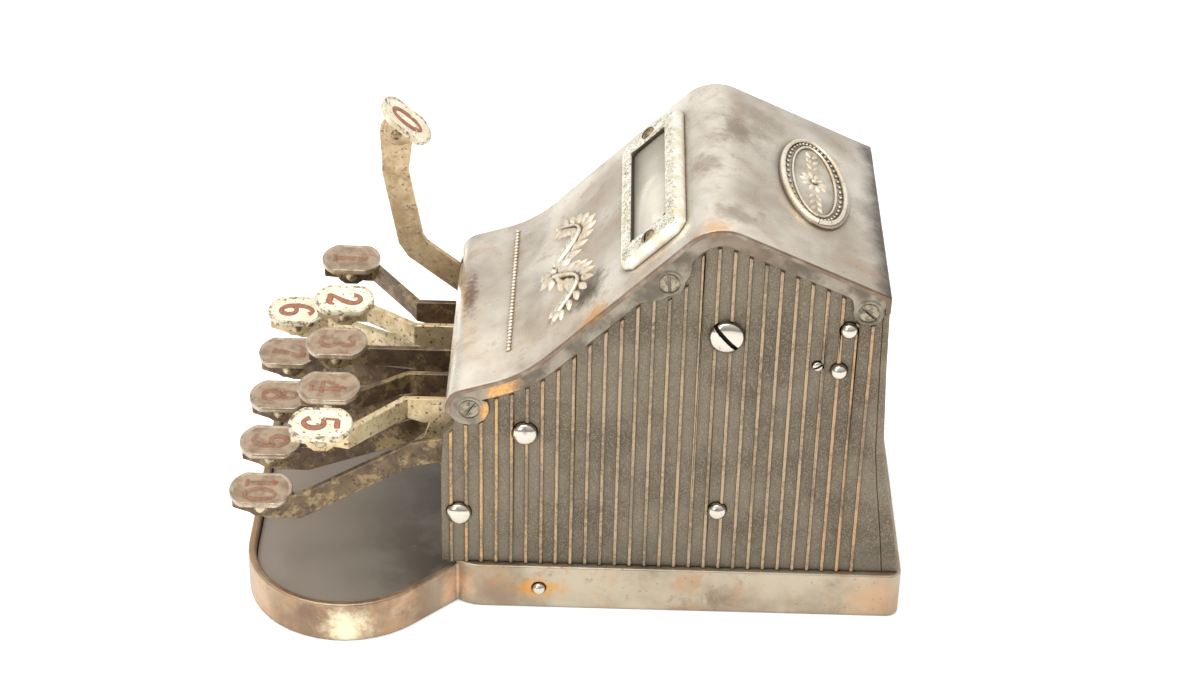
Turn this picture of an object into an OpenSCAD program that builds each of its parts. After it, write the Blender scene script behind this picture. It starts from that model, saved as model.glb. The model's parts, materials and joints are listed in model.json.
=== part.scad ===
// Adding machine: ribbed cast body, sloped cover with a window, ten digit keys and a reset lever.
// X runs across (the operator's right is +X), Y from the keys to the back, Z up, origin under the middle.

/* [Body] */
// Width of the base casting
base_w = 72; // [68:0.5:80]
// Height of the base casting
base_h = 12.4; // [10:0.2:14]
// Front face of the body
body_front = -57; // [-58:0.5:-56]
// Rear face of the base
body_rear = 54.9; // [54:0.1:57]
// Thickness of the side walls
wall_t = 3.2; // [2.6:0.1:4]
// Ridges on each side wall
rib_count = 28; // [20:1:30]
// Width of one ridge
rib_w = 0.9; // [0.7:0.1:1.3]
// How far the ridges stand out
rib_proud = 0.6; // [0.3:0.1:0.8]

/* [Apron] */
// Radius of the apron's corners
apron_r = 24.4; // [20:0.2:26]
// Height of the apron's rim
apron_h = 11; // [9:0.2:12]
// Width of the rim
apron_rim = 1.9; // [1.2:0.1:3]
// Thickness of the lining
mat_t = 1; // [0.5:0.1:1.5]

/* [Cover] */
// Thickness of the cover
cover_t = 2.4; // [1.8:0.1:2.8]
// Depth of the side flanges
band_d = 4.3; // [3.6:0.1:4.8]
// Thickness of the side flanges
band_t = 1; // [0.8:0.1:1.4]
// Angle of the window slope
slope_a = 45; // [43:0.5:46]
// Radius of the ridge
ridge_r = 10.7; // [8:0.1:13]
// Radius of the hollow at the foot of the slope
blend_r = 30; // [20:1:34]
// Gap between the cover and the walls
cover_gap = 0.2; // [0.1:0.05:0.4]

/* [Window] */
// Length of the bezel
bezel_l = 56; // [54:0.5:60]
// Width of the bezel
bezel_w = 19; // [17.5:0.1:20]
// Thickness of the bezel
bezel_t = 2.9; // [2.2:0.1:3.2]
// Length of the bezel's opening
view_l = 41.8; // [38:0.2:44]
// Width of the bezel's opening
view_w = 10.8; // [9:0.2:11.4]
// Thickness of the glass
glass_t = 1.1; // [0.8:0.1:1.3]

/* [Keys] */
// Reach of the front key row beyond the body
key_reach = 42.2; // [40:0.1:44]
// Distance between the two key rows
row_step = 14.7; // [14:0.1:15.6]
// Height of the reset key
reset_h = 99.4; // [94:0.1:104]
// Spacing of the key tops
key_pitch = 19.7; // [19:0.1:20.4]
// Room between the outer levers and the walls
lever_room = 4; // [3.6:0.1:4.6]
// Thickness of the levers
lever_t = 1.6; // [1.2:0.1:1.8]
// Length of a key top
key_l = 15; // [13:0.1:16]
// Width of a key top
key_w = 12.4; // [11:0.1:14]
// Thickness of a key top
key_t = 1.5; // [1.2:0.1:2]
// Rise of the fifth key, which is bent up
bent_rise = 3; // [1:0.1:3.5]

/* [Rods] */
// Radius of the key shaft
key_shaft_r = 2.2; // [1.8:0.1:2.5]
// Radius of the number-wheel shaft
wheel_shaft_r = 2.5; // [2.2:0.1:2.8]
// Radius of that shaft's ends
wheel_end_r = 1.5; // [1.4:0.05:1.6]
// Radius of the two front rods
stop_r = 2.95; // [2.5:0.05:3.2]
// Radius of the two rear rods
rear_rod_r = 1.95; // [1.7:0.05:2.2]
// Running clearance on the shafts
run_gap = 0.04; // [0.02:0.01:0.08]
// Clearance of a fixed rod in its hole
seat_gap = 0.02; // [0.01:0.01:0.05]

/* [Numbers] */
// Radius of the number wheels
drum_r = 21.6; // [20.5:0.1:21.8]
// Width of a number wheel
drum_w = 10; // [9:0.1:10.4]
// Spacing of the number wheels
drum_pitch = 13; // [12.8:0.1:13.4]
// Radius of the ten-notch star beside each wheel
star_r = 14; // [12:0.1:15]

/* [Hidden] */
$fn = 48;
hw = base_w / 2;
wall_out = hw - 1.8;
wall_in = wall_out - wall_t;
lever_pitch = (wall_in - lever_room) / 5;
flange_in = wall_out + cover_gap;
flange_out = flange_in + band_t;
lug_out = flange_out;
rib_pitch = 97 / (rib_count - 1);
key_p = [9.2, 29.9];
wheel_p = [9.15, 79.5];
up_p = [-37, 50.9];
down_p = [-52.7, 27.1];
lift_p = [37.06, 82.2];
hold_p = [35.5, 70.9];
adjust_p = [30.5, 72];
pin_p = [-33.2, 6];
lugs = [[-50.07, 57.9, 4.6], [-4.55, 93.9, 3.2], [41.2, 87.4, 3.6]];
// The middle lug is long, three rounds in a row along the slope
lobes = concat(lugs, [for (k = [-2.4, 2.4]) [lugs[1][0] + k * cos(slope_a),
    lugs[1][1] + k * sin(slope_a), 3.2]]);
row_y = [body_front - key_reach + row_step, body_front - key_reach];
travel = 4;
reset_travel = 5.5;
tooth_m = 0.3;
pinion_n = 16;
sector_n = 240;
idler_n = 96;

// Small helpers for the profile of the cover
function nrm(a) = [-sin(a), cos(a)];
function dir(a) = [cos(a), sin(a)];
function cross2(a, b) = a[0] * b[1] - a[1] * b[0];
function meet(p, a, q, b) = p + dir(a) * cross2(q - p, dir(b)) / cross2(dir(a), dir(b));
function arc(c, r, a0, a1, n) = [for (i = [0:n]) c + r * dir(a0 + (a1 - a0) * i / n)];
foot_a = 18;
rear_a = -24.25;
nose_c = [lugs[0][0], lugs[0][1]];
nose_r = 5.7;
lip_t = 1.2;
foot_p = nose_c + nose_r * nrm(foot_a);
slope_p = [-24.6, 80.9];
rear_p = [29.7, 99.1];
cover_rear = 46.2;
blend_c = meet(foot_p + blend_r * nrm(foot_a), foot_a, slope_p + blend_r * nrm(slope_a), slope_a);
ridge_c = meet(slope_p - ridge_r * nrm(slope_a), slope_a, rear_p - ridge_r * nrm(rear_a), rear_a);
function rear_end(t, y) = meet(rear_p - t * nrm(rear_a), rear_a, [y, 0], 90);
function skin(t, y = cover_rear) = concat(
    arc(nose_c, nose_r - t, 200, 90 + foot_a, 10),
    arc(blend_c, blend_r + t, 270 + foot_a, 270 + slope_a, 8),
    arc(ridge_c, ridge_r - t, 90 + slope_a, 90 + rear_a, 12),
    [rear_end(t, y)]);
function flip(p) = [for (i = [len(p) - 1:-1:0]) p[i]];

// A strip of even width along a bent centre line
function side(p, i) = i == 0 ? nrm2(p[1] - p[0]) : i == len(p) - 1 ? nrm2(p[i] - p[i - 1])
    : mitre(nrm2(p[i] - p[i - 1]), nrm2(p[i + 1] - p[i]));
function nrm2(v) = [-v[1], v[0]] / norm(v);
function mitre(a, b) = (a + b) / (1 + a * b);
function strip(p, w) = concat(
    [for (i = [0:len(p) - 1]) p[i] + side(p, i) * w / 2],
    flip([for (i = [0:len(p) - 1]) p[i] - side(p, i) * w / 2]));

// A flat plate across X, drawn in the Y and Z plane
module plate(x0, x1) {
    translate([x0, 0, 0]) rotate([90, 0, 90]) linear_extrude(x1 - x0) children();
}
// A cylinder along X
module xcyl(r, x0, x1, p) {
    translate([x0, p[0], p[1]]) rotate([0, 90, 0]) cylinder(r = r, h = x1 - x0);
}
// A low dome on the outer end of a rod
module dome(r, x, p, s) {
    translate([x, p[0], p[1]]) rotate([0, 90 * s, 0]) {
        cylinder(r1 = r, r2 = r * 0.86, h = 0.5);
        translate([0, 0, 0.5]) cylinder(r1 = r * 0.86, r2 = r * 0.5, h = 0.5);
    }
}
// A plain rod with domed ends, across both walls
module rod(r, p) {
    xcyl(r, -wall_out - 0.8, wall_out + 0.8, p);
    dome(r, wall_out + 0.8, p, 1);
    dome(r, -wall_out - 0.8, p, -1);
}

// Outline of the body's base, with round front corners
function body_outline(w, f, b, r, rr) = concat(
    arc([w - rr, b - rr], rr, 0, 90, 4), arc([-w + rr, b - rr], rr, 90, 180, 4),
    arc([-w + r, f + r], r, 180, 270, 8), arc([w - r, f + r], r, 270, 360, 8));
apron_cx = 26.7;
apron_cy = row_y[1] + 18.8;
// Outline of the apron, drawn in by d
function apron_outline(d) = concat(
    arc([apron_cx, apron_cy], apron_r - d, -90, 46, 16), [[hw - 7 - d, body_front + 9], [-hw + 7 + d,
        body_front + 9]],
    flip([for (p = arc([apron_cx, apron_cy], apron_r - d, -90, 46, 16)) [-p[0], p[1]]]));
apron_floor = apron_h - 2.4 - mat_t;
well_front = -45;

module base_casting() color("tan") difference() {
    union() {
        linear_extrude(base_h) polygon(body_outline(hw, body_front, body_rear, 10, 3));
        linear_extrude(apron_h) polygon(apron_outline(0));
    }
    translate([0, 0, apron_floor]) linear_extrude(base_h) intersection() {
        polygon(apron_outline(apron_rim));
        translate([-80, -120]) square([160, 120 + well_front - 3]);
    }
    translate([-wall_in, well_front, 4]) cube([2 * wall_in, 44 - well_front, base_h]);
    for (s = [-1, 1]) translate([0, pin_p[0], pin_p[1]]) rotate([0, 90 * s, 0])
        translate([0, 0, wall_in - 1]) cylinder(r = 1.55 + seat_gap, h = 10);
}

module apron_mat() color("dimgray") translate([0, 0, apron_floor]) linear_extrude(mat_t) intersection() {
    polygon(apron_outline(apron_rim + 0.15));
    translate([-80, -120]) square([160, 120 + well_front - 3.15]);
}

module base_pins() color("silver") for (s = [-1, 1]) {
    xcyl(1.55, s > 0 ? wall_in - 1 : -hw - 0.4, s > 0 ? hw + 0.4 : -wall_in + 1, pin_p);
    dome(1.55, s * (hw + 0.4), pin_p, s);
}

// Rear edge of the side walls, and the outer face of the rear wall behind it
rear_in = [[44.6, 86.5], [45, 70], [45.8, 48], [47, 37], [48.6, 25], [50, base_h]];
rear_out = [[46.1, 86.5], [46.6, 70], [47.7, 48], [49.5, 37], [51.9, 25], [53.9, base_h]];
front_edge_down = [[-54, 52.6], [-56.3, 50], [-56.9, 40], [-57, 24], [-57, base_h]];
wall_profile = concat(skin(cover_t + cover_gap, rear_in[0][0]), rear_in, flip(front_edge_down));
shaft_holes = [[key_p, key_shaft_r], [wheel_p, wheel_end_r], [up_p, stop_r], [down_p, stop_r],
    [lift_p, rear_rod_r], [hold_p, rear_rod_r], [adjust_p, 1.2]];

// Right side wall with its ridges and holes, standing on the base
module side_wall() difference() {
    union() {
        plate(wall_in, wall_out) polygon(wall_profile);
        plate(wall_out, wall_out + rib_proud) intersection() {
            polygon(concat(skin(band_d + 0.8, rear_in[0][0] - 1.2),
                [for (i = [1:len(rear_in) - 1]) rear_in[i] - [1, 0]],
                [for (p = flip(front_edge_down)) p + [1, 0]]));
            union() for (i = [0:rib_count - 1])
                translate([-54.5 - rib_w / 2 + i * rib_pitch, base_h]) square([rib_w, 110]);
        }
    }
    for (h = shaft_holes) xcyl(h[1] + seat_gap, 0, hw + 5, h[0]);
    for (l = lugs) xcyl(1.2 + seat_gap, 0, hw + 5, l);
    for (l = lobes) xcyl(l[2] + 0.4, wall_out, hw + 5, l);
    xcyl(4.2, wall_out, hw + 5, wheel_p);
}

module right_side_wall() color("darkolivegreen") side_wall();
module left_side_wall() color("darkolivegreen") mirror([1, 0, 0]) side_wall();

module rear_wall() color("darkolivegreen") plate(-wall_out, wall_out) polygon(concat(rear_out,
    flip(rear_in)));

// Guide plate behind the front rods, with a slot for each lever
comb_y = -45;
module front_comb() color("gray") difference() {
    translate([-wall_in, comb_y, base_h]) cube([2 * wall_in, 1.6, 47]);
    for (i = [-5:5]) translate([i * lever_pitch - lever_t / 2 - 0.3, comb_y - 1, 24]) cube([lever_t + 0.6,
        4, 60]);
}

// Slope frame: along X, up the slope, and out of the cover
window_y = -7.7;
window_z = slope_p[1] + (window_y - slope_p[0]) * tan(slope_a);
module on_slope() translate([0, window_y, window_z]) rotate([slope_a, 0, 0]) children();
module on_rear() translate([0, rear_p[0], rear_p[1]]) rotate([rear_a, 0, 0]) children();
rebate_l = view_l + 3;
rebate_w = view_w + 2.4;
glass_gap = 0.15;

module top_cover() color("silver") difference() {
    union() {
        difference() {
            plate(-flange_out, flange_out) polygon(concat(skin(0), flip(skin(band_d))));
            plate(-flange_in, flange_in) polygon(concat(skin(cover_t, cover_rear - lip_t),
                [[cover_rear - lip_t, 40], [nose_c[0] - nose_r, 40]]));
        }
        for (s = [-1, 1]) mirror([s > 0 ? 0 : 1, 0, 0]) for (l = lobes) xcyl(l[2], flange_in, lug_out, l);
        on_rear() translate([-2.3, 0, -0.5]) linear_extrude(1.2) polygon([for (a = [0:10:350])
            [19.7 * cos(a), 9.3 * sin(a)]]);
    }
    for (s = [-1, 1]) mirror([s > 0 ? 0 : 1, 0, 0]) for (l = lugs) {
        xcyl(1.2 + 2 * seat_gap, flange_in - 1, hw + 5, l);
        xcyl(2.6, flange_in + 0.5, hw + 5, l);
    }
    on_slope() {
        translate([-view_l / 2 - 0.3, -view_w / 2 - 0.3, -5]) cube([view_l + 0.6, view_w + 0.6, 8]);
        translate([-rebate_l / 2, -rebate_w / 2, -glass_t - 0.05]) cube([rebate_l, rebate_w, 5]);
        for (s = [-1, 1]) translate([s * screw_x, 0, -5]) cylinder(r = 0.8 + seat_gap, h = 8);
    }
    // notch in the nose for the reset lever
    translate([reset_x - lever_t / 2 - 0.4, -62, 40]) cube([lever_t + 0.8, 11, 20.8]);
}
screw_x = (view_l + bezel_l) / 4;

module slot(r, x, p, a, s) {
    translate([x, p[0], p[1]]) rotate([a, 0, 0]) translate([-0.4, -r - 1, -r * 0.14]) cube([0.8,
        2 * r + 2, r * 0.28]);
}
module cover_screws() color("dimgray") for (s = [-1, 1]) mirror([s > 0 ? 0 : 1, 0,
    0]) for (l = lugs) difference() {
    union() {
        xcyl(1.2, wall_in + 0.2, flange_in + 0.5, l);
        xcyl(2.3, flange_in + 0.5, lug_out + 0.1, l);
    }
    slot(2.3, lug_out + 0.1, l, 30 + 40 * l[2], s);
}

module bezel_outline(l, w, c) polygon([[-l / 2 + c, -w / 2], [l / 2 - c, -w / 2], [l / 2, -w / 2 + c],
    [l / 2, w / 2 - c],
    [l / 2 - c, w / 2], [-l / 2 + c, w / 2], [-l / 2, w / 2 - c], [-l / 2, -w / 2 + c]]);
module window_bezel() color("wheat") on_slope() difference() {
    union() {
        linear_extrude(bezel_t - 0.4) bezel_outline(bezel_l, bezel_w, 2.4);
        linear_extrude(bezel_t) bezel_outline(bezel_l - 0.8, bezel_w - 0.8, 2.2);
    }
    translate([0, 0, -1]) linear_extrude(bezel_t + 2) bezel_outline(view_l, view_w, 1.2);
    for (s = [-1, 1]) translate([s * screw_x, 0, -1]) {
        cylinder(r = 0.8 + seat_gap, h = 8);
        translate([0, 0, 1 + bezel_t - 0.5]) cylinder(r = 1.9, h = 3);
    }
}
module bezel_screws() color("dimgray") on_slope() for (s = [-1, 1]) translate([s * screw_x, 0,
    0]) difference() {
    union() {
        translate([0, 0, -2.2]) cylinder(r = 0.8, h = bezel_t + 2);
        translate([0, 0, bezel_t - 0.5]) cylinder(r = 1.75, h = 0.6);
    }
    rotate(35) translate([-3, -0.25, bezel_t - 0.2]) cube([6, 0.5, 2]);
}
module window_glass() color("honeydew") on_slope()
    translate([-rebate_l / 2 + glass_gap, -rebate_w / 2 + glass_gap, -glass_t - 0.05])
        cube([rebate_l - 2 * glass_gap, rebate_w - 2 * glass_gap, glass_t]);

// Fixed shafts, rods and screws
module key_shaft() color("silver") rod(key_shaft_r, key_p);
module up_stop_rod() color("silver") rod(stop_r, up_p);
module down_stop_rod() color("silver") rod(stop_r, down_p);
module lift_rod() color("silver") rod(rear_rod_r, lift_p);
module hold_rod() color("silver") rod(rear_rod_r, hold_p);
shoulder_x = 1.5 * drum_pitch + 0.5;
module wheel_shaft() color("silver") difference() {
    union() {
        xcyl(wheel_shaft_r, -shoulder_x - 2, shoulder_x, wheel_p);
        xcyl(wheel_end_r, -wall_out, wall_out, wheel_p);
    }
    for (s = [-1, 1]) mirror([s > 0 ? 0 : 1, 0, 0]) xcyl(1 + seat_gap, wall_out - 8, wall_out + 1, wheel_p);
}
module wheel_screws() color("silver") for (s = [-1, 1]) mirror([s > 0 ? 0 : 1, 0, 0]) difference() {
    union() {
        xcyl(1, wall_out - 7, wall_out + 0.2, wheel_p);
        xcyl(4, wall_out, wall_out + 1.4, wheel_p);
        dome(4, wall_out + 1.4, wheel_p, 1);
    }
    slot(4.4, wall_out + 2.3, wheel_p, -40, s);
}
module adjust_screws() color("silver") for (s = [-1, 1]) mirror([s > 0 ? 0 : 1, 0, 0]) difference() {
    xcyl(1.2, wall_in - 1, wall_out + 1, adjust_p);
    slot(1.2, wall_out + 1, adjust_p, 60, s);
}

// Levers: columns counted from the middle one, and the key each one carries
exit_z = 51.4;
low_z = 35.1;
toe_z = down_p[1] + stop_r + (key_p[0] - down_p[0]) * sin(travel) + 0.35;
tail_y = 34;
function upper_side(r) = [[tail_y, key_p[1] - 3], [key_p[0], key_p[1] - 4], [-44, 42.6], [-49.5, 43.9],
    [-49.5, toe_z],
    [-56, toe_z], [-56, exit_z - 6.8], [-62, exit_z - 6.8], [-68, exit_z - 5.2 + r / 7], [row_y[0] + 4.5,
        exit_z - 5.2 + r], [row_y[0] - 7, exit_z - 4 + r],
    [row_y[0] - 7, exit_z + r], [row_y[0] + 4.5, exit_z + r], [-66, exit_z], [-48, exit_z], [-41, 48.6],
    [key_p[0], key_p[1] + 4], [tail_y, key_p[1] + 3]];
lower_side = [[tail_y, key_p[1] - 3], [key_p[0], key_p[1] - 4], [-48, 36], [-49.5, toe_z], [-56, toe_z],
    [-58, 36.7],
    [-62, 35.9], [row_y[1] + 9.2, low_z - 6.9], [row_y[1] + 1.2, low_z - 6.9], [row_y[1] - 7, low_z - 4],
        [row_y[1] - 7, low_z], [row_y[1] + 9.2, low_z],
    [-62, 42.8], [-57, 43.6], [-41.5, 41.3], [-40.5, 47.6], [-34, 45.6], [-33, 40], [key_p[0],
        key_p[1] + 4],
    [tail_y, key_p[1] + 3]];
function upper(n) = n <= 5;
function key_x(n) = ((upper(n) ? n : n - 5) - 3) * key_pitch;
function lever_x(n) = (upper(n) ? 2 * n - 6 : 2 * (n - 5) - 5) * lever_pitch;
function key_z(n) = upper(n) ? exit_z + (n == 5 ? bent_rise : 0) : low_z;
function key_y(n) = upper(n) ? row_y[0] : row_y[1];
function bend_y(n) = upper(n) ? [-66, row_y[0] + 6] : [-65, row_y[1] + 8.7];
rivet_r = 0.9;
rivet_drop = 4.4;

module key_lever(n) color(n == 2 || n == 5 || n == 6 ? "wheat" : "sienna") difference() {
    union() {
        intersection() {
            linear_extrude(90) polygon(strip([[lever_x(n), 60], [lever_x(n), bend_y(n)[0]],
                [key_x(n), bend_y(n)[1]], [key_x(n), -120]], lever_t));
            plate(-70, 70) polygon(upper(n) ? upper_side(n == 5 ? bent_rise : 0) : lower_side);
        }
        xcyl(5, lever_x(n) - lever_t / 2, lever_x(n) + lever_t / 2, key_p);
        if (n == 5) plate(lever_x(n) - lever_t / 2, lever_x(n) + lever_t / 2)
            polygon([[-55.9, 44.7], [-55.9, 38.5], [-60, 37.6], [-65.6, 33.4], [-67.4, 33.6], [-67.9,
                35.2], [-61.5, 41], [-60.5, 44.7]]);
        if (n == 10) plate(lever_x(n) - lever_t / 2, lever_x(n) + lever_t / 2)
            polygon([[tail_y, key_p[1]], [tail_y, bar_z - 0.3], [tail_y - 6, bar_z - 0.3], [tail_y - 8,
                key_p[1]]]);
    }
    xcyl(key_shaft_r + run_gap, -70, 70, key_p);
    xcyl(rivet_r + seat_gap, -70, 70, [key_y(n), key_z(n) - rivet_drop + 1.5]);
}

// A key top with its riveted tab, drawn about the middle of its upper face's underside
module key_top() {
    difference() {
        intersection() {
            cylinder(r = key_l / 2, h = key_t);
            translate([-key_w / 2, -20, -1]) cube([key_w, 40, 10]);
        }
        translate([0, 0, key_t - 0.3]) intersection() {
            cylinder(r = key_l / 2 - 0.9, h = 1);
            translate([-key_w / 2 + 0.9, -20, -1]) cube([key_w - 1.8, 40, 10]);
        }
    }
    plate(lever_t / 2, lever_t / 2 + 1.4) polygon([[-5, 0.1], [5, 0.1], [5, 0], [3, -4.2], [1.4, -5.4],
        [-1.4, -5.4], [-3, -4.2], [-5, 0]]);
    xcyl(rivet_r, -lever_t / 2 - 0.5, lever_t / 2 + 1, [0, 1.5 - rivet_drop]);
    xcyl(1.4, lever_t / 2 + 1.2, lever_t / 2 + 1.8, [0, 1.5 - rivet_drop]);
    dome(1.4, lever_t / 2 + 1.8, [0, 1.5 - rivet_drop], 0.999999);
    xcyl(1.4, -lever_t / 2 - 0.6, -lever_t / 2, [0, 1.5 - rivet_drop]);
}
module digit_top(n) color(n == 2 || n == 5 || n == 6 ? "ivory" : "dimgray")
    translate([key_x(n), key_y(n), key_z(n)]) key_top();

// The tall reset lever at the operator's left, and its tilted top
reset_x = -5 * lever_pitch;
reset_top = [-69.2, reset_h];
reset_tilt = 40;
reset_rivet = reset_top + (1.5 - rivet_drop) * [sin(reset_tilt), cos(reset_tilt)];
module zero_lever() color("tan") difference() {
    union() {
        plate(reset_x - lever_t / 2, reset_x + lever_t / 2) {
            polygon(strip([key_p, [-42, 44.4], [-54, 54], [-66.3, 63.8], [-68, 66.6], reset_top - [2.4,
                13.4], reset_rivet], 6.6));
            hull() {
                translate(reset_rivet) circle(r = 4.2);
                translate(reset_top - [2.3, 12]) circle(r = 3.3);
            }
        }
        xcyl(5, reset_x - lever_t / 2, reset_x + lever_t / 2, key_p);
    }
    xcyl(key_shaft_r + run_gap, -70, 70, key_p);
    xcyl(rivet_r + seat_gap, -70, 70, reset_rivet);
    translate([reset_x, reset_top[0], reset_top[1]]) rotate([-reset_tilt, 0, 0]) translate([-5, -20,
        0]) cube([10, 40, 10]);
}
module zero_top() color("ivory") translate([reset_x, reset_top[0], reset_top[1]]) rotate([-reset_tilt, 0,
    0]) key_top();

// Comb carried by the reset lever, with one finger for each number wheel
comb_p = [33, 52];
module reset_comb() color("gray") difference() {
    union() {
        plate(reset_x + lever_t / 2 + 0.1, reset_x + lever_t / 2 + 1.3) polygon(strip([key_p, comb_p], 6));
        xcyl(5, reset_x + lever_t / 2 + 0.1, reset_x + lever_t / 2 + 1.3, key_p);
        xcyl(1.6, reset_x + lever_t / 2 + 0.1, 1.5 * drum_pitch, comb_p);
        for (i = [-1:1]) plate(i * drum_pitch - drum_w / 2 - 1.3, i * drum_pitch - drum_w / 2 - 0.3)
            polygon(strip([comb_p, comb_p + [-0.65, 0.76] * 21], 2.4));
    }
    xcyl(key_shaft_r + run_gap, -70, 70, key_p);
}

// Number wheel: drum, web, hub, heart cam on the left and ten-notch star on the right
module number_wheel(i) translate([i * drum_pitch, wheel_p[0], wheel_p[1]]) rotate([0, 90, 0]) difference() {
    union() {
        difference() {
            translate([0, 0, -drum_w / 2]) cylinder(r = drum_r, h = drum_w);
            translate([0, 0, -drum_w / 2 - 1]) cylinder(r = drum_r - 1.6, h = drum_w / 2 + 0.2);
            translate([0, 0, 0.8]) cylinder(r = drum_r - 1.6, h = drum_w);
        }
        translate([0, 0, -drum_pitch / 2 + 0.15]) cylinder(r = 4.6, h = drum_pitch - 0.3);
        translate([0, 0, drum_w / 2 + 0.2]) linear_extrude(0.9) polygon(star_points());
        translate([0, 0, -drum_w / 2 - 1.2]) linear_extrude(0.9) polygon([for (a = [0:12:348])
            (5 + 4 * abs(180 - a) / 180) * dir(a + 20)]);
    }
    translate([0, 0, -10]) cylinder(r = wheel_shaft_r + run_gap, h = 20);
}
function star_points() = [for (k = [0:9]) for (d = [[-9, 0], [0, 2.6], [9,
    0]]) (star_r - d[1]) * dir(k * 36 + 68.7 + d[0])];
module units_wheel() color("ivory") number_wheel(1);
module tens_wheel() color("ivory") number_wheel(0);
module hundreds_wheel() color("ivory") number_wheel(-1);

// Carry levers on the upper rear rod, between the wheels
module carry_lever(i) difference() {
    x0 = i * drum_pitch + drum_pitch / 2 + 0.35;
    union() {
        xcyl(3.6, x0 - 0.3, x0 + 0.7, lift_p);
        plate(x0 - 0.3, x0 + 0.7) {
            polygon(strip([lift_p, lift_p + [-11.6, -1.2], lift_p + [-13.2, 2.4]], 2.2));
            polygon(strip([lift_p, lift_p + [-3, 8]], 2.2));
        }
    }
    xcyl(rear_rod_r + run_gap, -70, 70, lift_p);
}
module tens_carry() color("gray") carry_lever(0);
module hundreds_carry() color("gray") carry_lever(-1);

// Detent springs: a split collar on the lower rear rod and one leaf for each star
module detent_springs() color("silver") difference() {
    union() {
        for (i = [-1:1]) {
            x0 = i * drum_pitch + drum_w / 2 + 0.2;
            plate(x0 + 0.1, x0 + 0.8) polygon(strip([hold_p + [-2, 1.4], hold_p + [-9, 5.2],
                hold_p + [-14.6, 4.2]], 0.5));
            xcyl(3, x0 - 1.2, x0 + 2.2, hold_p);
        }
    }
    xcyl(rear_rod_r + seat_gap, -70, 70, hold_p);
}

// Gear teeth with points on the involute, and a little backlash
function half_width(n, r, e) = (180 / PI) * (PI / 2 / n - (inv(r, n) - inv(n * tooth_m / 2, n)) - e / r);
function pressure(r, n) = acos(min(1, n * tooth_m / 2 * cos(20) / r));
function inv(r, n) = tan(pressure(r, n)) - pressure(r, n) * PI / 180;
module teeth(n, first, last, turn) polygon(concat([[0, 0]], [for (k = [first:last]) each [
    for (q = [[-1, 0], [-1, 1], [-1, 2], [1, 2], [1, 1], [1, 0]])
    let (r = n * tooth_m / 2 + tooth_m * [-1.2, 0, 0.9][q[1]],
        a = q[1] == 0 ? half_width(n, n * tooth_m / 2, 0.05) * 1.5 : half_width(n, r, 0.05))
    r * dir(turn + k * 360 / n + q[0] * a)]]));
gear_r = [sector_n, idler_n, pinion_n] * tooth_m / 2;
span = norm(wheel_p - key_p);
along = (pow(gear_r[0] + gear_r[2], 2) - pow(gear_r[1] + gear_r[2], 2) + span * span) / (2 * span);
idler_p = key_p + [-sqrt(pow(gear_r[0] + gear_r[2], 2) - along * along), along];
function aim(p, q) = atan2(q[1] - p[1], q[0] - p[0]);

// Drive frame on the key shaft: bar behind the lever tails, two arms and a toothed sector
bar_z = 37;
sector_t = 1.2;
sector_x = wall_in - sector_t - 0.5;
module drive_frame() color("gray") difference() {
    union() {
        plate(sector_x, sector_x + sector_t) {
            polygon(strip([key_p, [30, bar_z + 1.4]], 5));
            intersection() {
                translate([key_p[0], key_p[1]]) teeth(sector_n, -6, 4, aim(key_p, idler_p));
                translate([key_p[0], key_p[1]]) circle(r = 40);
            }
        }
        plate(-sector_x - sector_t, -sector_x) polygon(strip([key_p, [30, bar_z + 1.4]], 5));
        for (s = [-1, 1]) xcyl(4.4, s > 0 ? sector_x : -sector_x - sector_t,
            s > 0 ? sector_x + sector_t : -sector_x, key_p);
        translate([-sector_x - 0.5, 28.4, bar_z]) cube([2 * sector_x + 1, 3.2, 2.6]);
    }
    xcyl(key_shaft_r + run_gap, -70, 70, key_p);
}

// Idler: a small and a large gear in one, turning on a stud in the right wall
stud_r = 1.3;
module idler_stud() color("silver") {
    xcyl(stud_r, sector_x - 3.4, wall_in, idler_p);
    xcyl(2.4, sector_x - 4.2, sector_x - 3.2, idler_p);
    xcyl(4, wall_in - 0.3, wall_in, idler_p);
}
module idler_gear() color("goldenrod") difference() {
    union() {
        plate(sector_x - 1.2, sector_x + 1.1) translate([idler_p[0], idler_p[1]])
            teeth(pinion_n, 0, pinion_n - 1, aim(idler_p, key_p) + 180 / pinion_n);
        plate(sector_x - 2.6, sector_x - 1.2) translate([idler_p[0], idler_p[1]])
            teeth(idler_n, 0, idler_n - 1, aim(idler_p, wheel_p));
        xcyl(2, sector_x - 3, sector_x + 1.1, idler_p);
    }
    xcyl(stud_r + run_gap, -70, 70, idler_p);
}

// Drive pinion on the thin end of the wheel shaft, with its sleeve and ratchet disc
module drive_pinion() color("goldenrod") difference() {
    union() {
        plate(sector_x - 3, sector_x - 0.8) translate([wheel_p[0], wheel_p[1]])
            teeth(pinion_n, 0, pinion_n - 1, aim(wheel_p, idler_p) + 180 / pinion_n);
        xcyl(2.7, shoulder_x + 0.3, sector_x - 2.9, wheel_p);
        xcyl(2, sector_x - 3, sector_x - 0.8, wheel_p);
        plate(shoulder_x + 0.3, shoulder_x + 1.3) translate([wheel_p[0], wheel_p[1]])
            polygon([for (k = [0:9]) each [9.6 * dir(36 * k), 7.6 * dir(36 * k + 33)]]);
    }
    xcyl(wheel_end_r + run_gap, -70, 70, wheel_p);
}

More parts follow.
